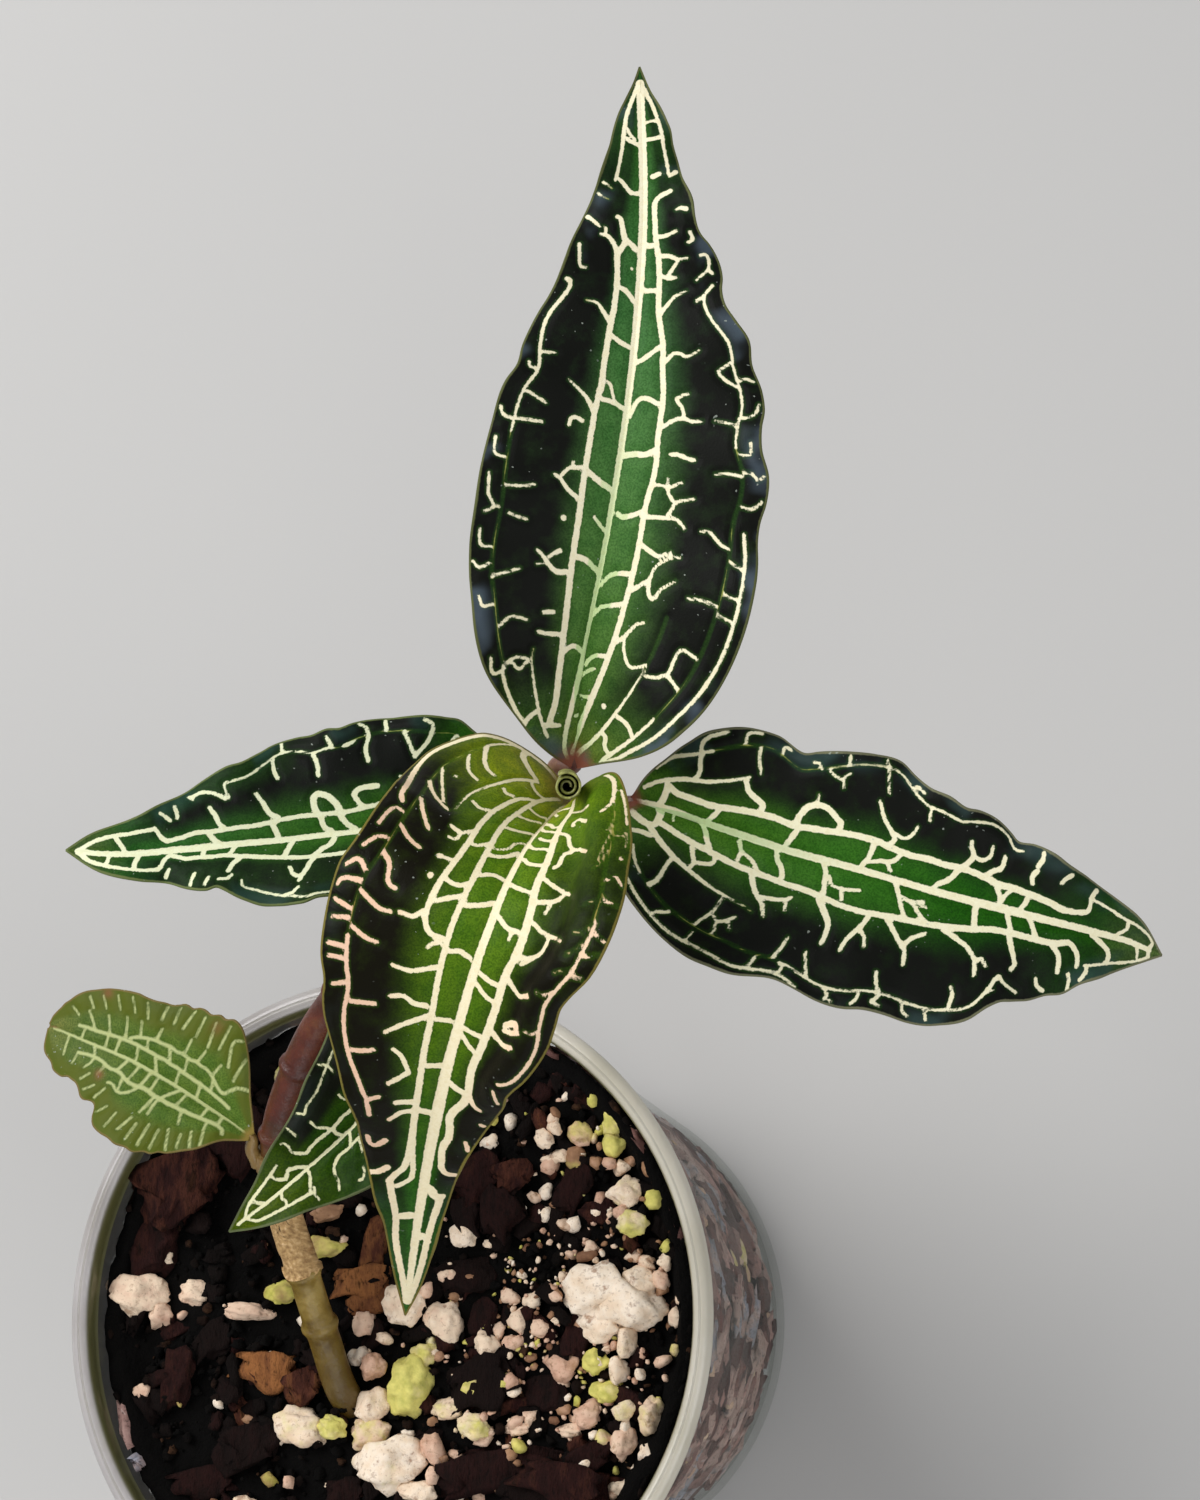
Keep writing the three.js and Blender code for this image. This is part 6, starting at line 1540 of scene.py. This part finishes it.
blade = grow_blade("leaf_front", front_leaf, front_veins, front_green, front_flush)
front_velvet = velvet(
    "front_leaf_velvet", (0.0055, 0.0048, 0.0016),
    [
        (0.0, (0.31, 0.28, 0.030)), (0.08, (0.24, 0.29, 0.008)), (0.18, (0.12, 0.22, 0.006)),
        (0.30, (0.080, 0.165, 0.007)), (0.50, (0.060, 0.130, 0.004)), (0.72, (0.020, 0.10, 0.004)),
        (1.0, (0.04, 0.14, 0.02)),
    ],
    ((0.92, 0.82, 0.56), (0.84, 0.56, 0.40)), (0.17, 0.14, 0.030),
    foot=(0.26, 0.20, 0.045), painted_sheen_share=0.12,
)
olive_underside = underside("olive_underside", (0.10, 0.055, 0.028), (0.24, 0.18, 0.08))
dress("leaf_front", front_leaf, blade, front_velvet, olive_underside)


# ---------------------------------------------------------------- lower leaf
# A narrow leaf under the front one. Only its outer third shows, with thin pale veins on green.
lower_leaf = {
    "midrib": [
        (30.6, 42.1, 136), (27.9, 30.6, 141), (21.1, 18.6, 144.5), (14.8, 12.5, 147), (8.5, 7.4, 148),
    ],
    "face": [(0, 0.15, 0.1, 0.98), (0.5, 0.15, -0.05, 1), (1, 0.15, -0.15, 0.95)],
    "fold": plain_fold,
    "left": [0.6, 3.2, 5.8, 7.6, 8.8, 9.2, 8.7, 7.8, 5.9, 4.1, 2.8, 1.5, 0.1],
    "right": [0.6, 2.8, 5.4, 7.4, 8.6, 8.8, 8.0, 7.1, 5.8, 4.2, 2.4, 1.2, 0.1],
    "wave": (0.6, 5, 0.4),
    "stalk": [(29.6, 46.6, 130.6), (30.6, 44.4, 132.6), (30.6, 42.1, 135.6)],
    "clasp": on_stem(129.6, 131.4),
}
lower_veins = [
    (43, 0, 0, 300, 0, 600, 0, 650, 2, 700, 2, 750, 0, 800, -5),
    (43, 36, 800, -5, 880, -6, 950, -4, 1000, 0),
    (32, 29, 100, -35, 300, -30, 500, -25, 630, -20, 660, -21, 690, -21, 700, -24),
    (29, 25, 700, -24, 715, -35, 720, -50, 720, -65, 726, -82), (25, 22, 635, -22, 648, -42),
    (29, 655, -17, 645, -10, 638, -3), (32, 29, 767, -10, 772, -25, 780, -40, 787, -57),
    (29, 25, 774, -50, 778, -68, 772, -83), (32, 29, 848, -12, 852, -30, 848, -45, 850, -60),
    (29, 787, -60, 830, -61, 880, -62, 920, -60, 935, -45, 945, -20, 948, 10),
    (29, 948, 10, 940, 35, 925, 55, 900, 62, 850, 62, 810, 62),
    (32, 100, 30, 300, 24, 480, 20, 590, 20, 620, 24, 660, 25, 700, 30, 730, 30),
    (32, 29, 730, 30, 745, 28, 757, 38, 765, 50, 765, 60), (36, 655, 5, 660, 15, 658, 25),
    (32, 25, 663, 28, 672, 38, 682, 48, 680, 62), (36, 765, 3, 775, 12, 790, 22, 800, 30),
    (36, 800, 30, 810, 22, 818, 15), (36, 29, 818, 15, 828, 25, 835, 42, 835, 60),
    (36, 29, 893, 3, 900, 15, 905, 35, 907, 58), (25, 22, 664, -62, 670, -75, 680, -83, 685, -80),
    (25, 22, 580, 35, 583, 40, 580, 48), (25, 22, 540, 70, 535, 80, 543, 93),
    (25, 22, 520, 82, 560, 80, 600, 78, 650, 82, 670, 78, 675, 85, 680, 92), (25, 22, 732, 68, 730, 93),
    (25, 22, 762, 65, 763, 78, 767, 84),
    # guessed net on the hidden part
    (32, 29, 170, -33, 160, -18, 150, -4), (32, 29, 310, -30, 300, -16, 280, -3),
    (32, 29, 440, -26, 430, -14, 410, -3), (32, 29, 550, -24, 545, -12, 530, -3),
    (32, 29, 200, 3, 210, 14, 230, 26), (32, 29, 360, 3, 370, 12, 385, 22),
    (32, 29, 500, 3, 510, 10, 520, 20), (29, 22, 220, -32, 240, -45, 230, -60),
    (29, 22, 360, -29, 380, -42, 375, -58), (29, 22, 500, -25, 520, -38, 520, -55),
    (29, 22, 260, 25, 280, 38, 270, 52), (29, 22, 420, 21, 440, 34, 440, 50),
    (25, 22, 100, -80, 250, -82, 400, -84, 550, -82), (25, 22, 100, 80, 250, 82, 400, 84, 520, 82),
]


def lower_green(u, v):
    """Green but for the outer right part near the stalk and most of the left margin."""
    middle = 1 - ease((np.abs(v) - 0.36) / 0.20)
    left = 0.75 * (v < 0) * ease((u - 0.55) / 0.1)
    return np.maximum.reduce([middle, left, 0.9 * ease((u - 0.72) / 0.08)])


blade = grow_blade("leaf_lower", lower_leaf, lower_veins, lower_green)
lower_velvet = velvet(
    "lower_leaf_velvet", (0.0050, 0.0060, 0.0030),
    [(0.0, (0.04, 0.08, 0.010)), (0.7, (0.018, 0.056, 0.001)), (1.0, (0.072, 0.105, 0.001))],
    ((0.74, 0.72, 0.46), (0.60, 0.70, 0.40)), (0.10, 0.12, 0.05), painted_sheen_share=0.1,
)
dress("leaf_lower", lower_leaf, blade, lower_velvet)


# ---------------------------------------------------------------- old leaf
# The small old leaf low on the stem. It has faded to a flat mid green with a pale grey-green net and a
# few brown spots, and its tip is round.
old_leaf = {
    "midrib": [
        (-9.8, 21.0, 97.6), (-14.1, 24.2, 98.6), (-23.6, 29.9, 99.5), (-31.8, 33.2, 98.5),
        (-37.2, 35.2, 97),
    ],
    "face": [(0, 0.1, 0, 0.98), (0.5, 0.1, 0, 1), (1, 0.1, -0.1, 0.95)],
    "fold": [
        (0, 30, 30, -8, -20), (0.12, 26, 26, -8, -10), (0.3, 18, 18, -8, 0), (0.6, 12, 12, -8, 14),
        (1, 6, 6, 0, 30),
    ],
    "left": [0.6, 1.4, 2.6, 5.4, 8.4, 9.9, 9.8, 8.0, 6.4, 5.6, 4.5, 3.1, 0.4],
    "right": [0.6, 1.8, 3.8, 7.5, 10.1, 9.7, 8.7, 7.9, 7.4, 6.3, 4.7, 3.1, 0.4],
    "left_edge": [
        (0, 0), (10, 40), (15, 76), (20, 48), (25, 26), (27, 0), (29, 24), (31, 0), (34, 25), (37, -10),
        (40, 0), (44, -20), (47, 0), (50, 20), (52, 32), (55, 0), (57, -75), (59, -85), (61, -50), (63, 0),
        (65, 3), (67, -30), (70, -63), (73, -61), (76, -50), (78, 0), (80, 16), (83, 23), (86, -10),
        (90, -7), (100, 0),
    ],
    "right_edge": [
        (0, 0), (15, 50), (20, 90), (25, 120), (28, 85), (30, 20), (32, 30), (35, -10), (37, 18), (39, 22),
        (41, -10), (44, 20), (46, -10), (48, -30), (50, -24), (53, -28), (56, -10), (58, 13), (60, 17),
        (65, 14), (70, 17), (75, 12), (80, 10), (83, -6), (86, -33), (89, -42), (92, -66), (95, -50),
        (97, -20), (100, 0),
    ],
    "wave": (0.4, 3.5, 0),
    "scars": [(0.655, -0.50, 0.9), (0.70, 0.92, 0.8), (0.97, 0.1, 0.7), (0.31, 0.86, 0.5)],
    "stalk": [(-9.9, 18.2, 94.4), (-10.3, 19.4, 96.0), (-9.9, 20.9, 97.2)],
    "clasp": on_stem(93.2, 95.0),
}
old_veins = [
    (50, 55, 30, -5, 100, -5, 200, -4, 300, -2, 500, -2), (55, 35, 500, -2, 700, -2, 900, 0, 970, 0),
    (45, 50, 100, -70, 110, -50, 140, -35, 200, -30, 300, -27, 400, -26, 460, -25),
    (50, 40, 460, -25, 500, -28, 600, -30, 700, -28, 800, -30),
    (45, 130, 25, 180, 20, 250, 17, 350, 19, 450, 22),
    (45, 40, 450, 22, 550, 25, 650, 25, 750, 25, 840, 30),
    (40, 120, 95, 150, 60, 170, 35, 200, 30, 300, 37, 400, 39, 500, 43, 560, 38, 600, 30),
    (40, 260, -2, 270, 17), (40, 450, -2, 480, 20), (40, 650, -2, 640, 25),
    (40, 35, 330, -3, 380, -28, 380, -50), (40, 30, 470, -3, 480, -28, 520, -45, 600, -55),
    (40, 580, -3, 600, -30), (40, 130, -10, 130, -35), (40, 30, 280, -27, 260, -50),
    (40, 30, 750, 0, 720, -35, 730, -60), (40, 420, 22, 440, 38), (35, 30, 320, 38, 310, 55),
    (40, 30, 500, 43, 490, 62), (40, 30, 620, 25, 620, 60), (40, 30, 760, 25, 790, 60),
    (40, 35, 200, -4, 200, -28), (35, 360, -2, 370, 18), (35, 550, -2, 560, 24), (35, 30, 820, 0, 810, 28),
    (35, 30, 660, -28, 660, -52), (35, 30, 560, -30, 540, -48), (35, 30, 150, -95, 160, -60),
    (35, 30, 180, -95, 200, -60), (35, 30, 250, -95, 280, -60), (35, 30, 340, -90, 350, -60),
    (35, 30, 430, -85, 420, -62), (35, 30, 310, 60, 320, 90), (35, 30, 420, 70, 400, 95),
    (35, 30, 500, 75, 490, 95), (30, 220, -92, 230, -66), (30, 300, -93, 310, -64),
    (30, 385, -90, 390, -66), (30, 25, 475, -90, 480, -68), (30, 25, 600, -90, 590, -66),
    (30, 25, 700, -86, 690, -64), (30, 270, 62, 275, 92), (30, 365, 66, 360, 93),
    (30, 25, 455, 72, 450, 95), (30, 25, 545, 70, 550, 93), (30, 25, 650, 68, 655, 90),
    (30, 25, 770, 66, 780, 88), (30, 25, 840, 55, 860, 80), (35, 30, 300, -3, 310, -27),
    (35, 30, 435, -3, 430, -25), (35, 30, 525, -3, 535, -28), (35, 30, 220, 18, 235, 31),
    (35, 30, 350, 19, 360, 38), (35, 30, 520, 24, 530, 40), (35, 30, 700, 0, 695, 25),
    (35, 30, 880, -2, 870, -30, 850, -55), (35, 30, 400, -27, 410, -52), (35, 30, 690, 26, 700, 55),
    (35, 30, 560, 38, 565, 62), (35, 30, 380, 39, 375, 60), (35, 30, 245, 33, 235, 52),
    (35, 30, 170, -33, 165, -55), (30, 25, 800, -30, 790, -58), (35, 30, 170, 60, 180, 95),
    (35, 30, 210, 60, 240, 80, 220, 95), (25, 550, -92, 530, -70), (25, 660, -90, 640, -68),
    (25, 600, 92, 590, 70), (25, 720, 88, 710, 66),
]


def old_green(u, v):
    """How green each point is: all but the outer parts on both sides."""
    return 1 - ease((np.abs(v) - 0.45) / 0.25)


blade = grow_blade("leaf_old", old_leaf, old_veins, old_green)
old_velvet = velvet(
    "old_leaf_velvet", (0.088, 0.110, 0.012),
    [
        (0.0, (0.09, 0.15, 0.022)), (0.5, (0.080, 0.135, 0.018)), (0.85, (0.10, 0.14, 0.03)),
        (1.0, (0.16, 0.17, 0.04)),
    ],
    ((0.45, 0.49, 0.22), (0.30, 0.13, 0.06)), (0.17, 0.13, 0.04), foot=(0.24, 0.17, 0.04),
    softness=2.8, painted_sheen_share=0.1,
)
green_underside = underside("green_underside", (0.10, 0.09, 0.035), (0.22, 0.24, 0.10))
faded_stalk = juicy_skin("faded_stalk", (0.15, 0.085, 0.025), (0.27, 0.17, 0.05), (0.36, 0.27, 0.10))
dress("leaf_old", old_leaf, blade, old_velvet, green_underside, faded_stalk)


# ---------------------------------------------------------------- rolled leaf
# The next leaf, still rolled into a tube that points up and forward, with the roll's spiral end showing.
roll_points = [(44.9, 52.0, 149.0), (46.1, 52.3, 151.6), (47.4, 51.6, 156), (50.4, 49.2, 165.9)]
roll_turns = 2.4
roll_line = smooth_line(roll_points, 0.2)[0]
last = len(roll_line) - 1
roll, around, up_roll = flat_grid("rolled_leaf", 150, 60)
climb = 0.30 + 0.70 * up_roll - around * 0.07 * up_roll
place_on = climb * last
index = np.minimum(place_on.astype(int), last - 1)
part = (place_on - index)[:, None]
centre = roll_line[index] * (1 - part) + roll_line[index + 1] * part
heading = roll_line[np.minimum(index + 3, last)] - roll_line[np.maximum(index - 3, 0)]
heading /= np.linalg.norm(heading, axis=1, keepdims=True)
aside = np.cross(heading, (0, 1, 0))
aside /= np.linalg.norm(aside, axis=1, keepdims=True)
beyond = np.cross(heading, aside)
turn = -2 * math.pi * roll_turns * around - 0.9
reach = (1.42 - 1.08 * around) * (0.82 + 0.18 * up_roll) * (0.35 + 0.65 * ease((climb - 0.22) / 0.22))
points = centre + (aside * np.cos(turn)[:, None] + beyond * np.sin(turn)[:, None]) * reach[:, None]
roll.data.vertices.foreach_set("co", (points * mm).ravel())
note_on(roll, "around", around)
finish_with(roll, "SOLIDIFY", thickness=0.00024, offset=0)
settle(roll)
bud_skin, tree, shader, place = start_material("bud_skin")
stripe = add_noise(tree, stretched(tree, place, (1, 1, 0.15)), 1700, 3)
tone = add_ramp(tree, read_note(tree, "around"), [
    (0.0, (0.36, 0.36, 0.10)), (0.35, (0.27, 0.28, 0.06)), (0.75, (0.18, 0.19, 0.03)),
    (1.0, (0.36, 0.36, 0.12)),
])
tone = add_mix(tree, add_range(tree, stripe, 0.42, 0.62, 0.0, 0.55), tone, (0.05, 0.045, 0.012))
fill(shader, {"Base Color": tone, "Roughness": 0.42})
add_bump(tree, shader, stripe, 0.00015)
roll.data.materials.append(bud_skin)
foot_line = smooth_line(roll_line[: int(len(roll_line) * 0.34) : 3], 0.25)[0]
foot_radii = 0.5 + 0.25 * ease(np.linspace(0, 1, len(foot_line)))
foot = fleshy_tube("rolled_leaf_foot", foot_line, foot_radii, 12)
foot.data.materials.append(stalk_skin)
for piece in (roll, foot):
    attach(piece, "root")
    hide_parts("leaf_new_rolled")
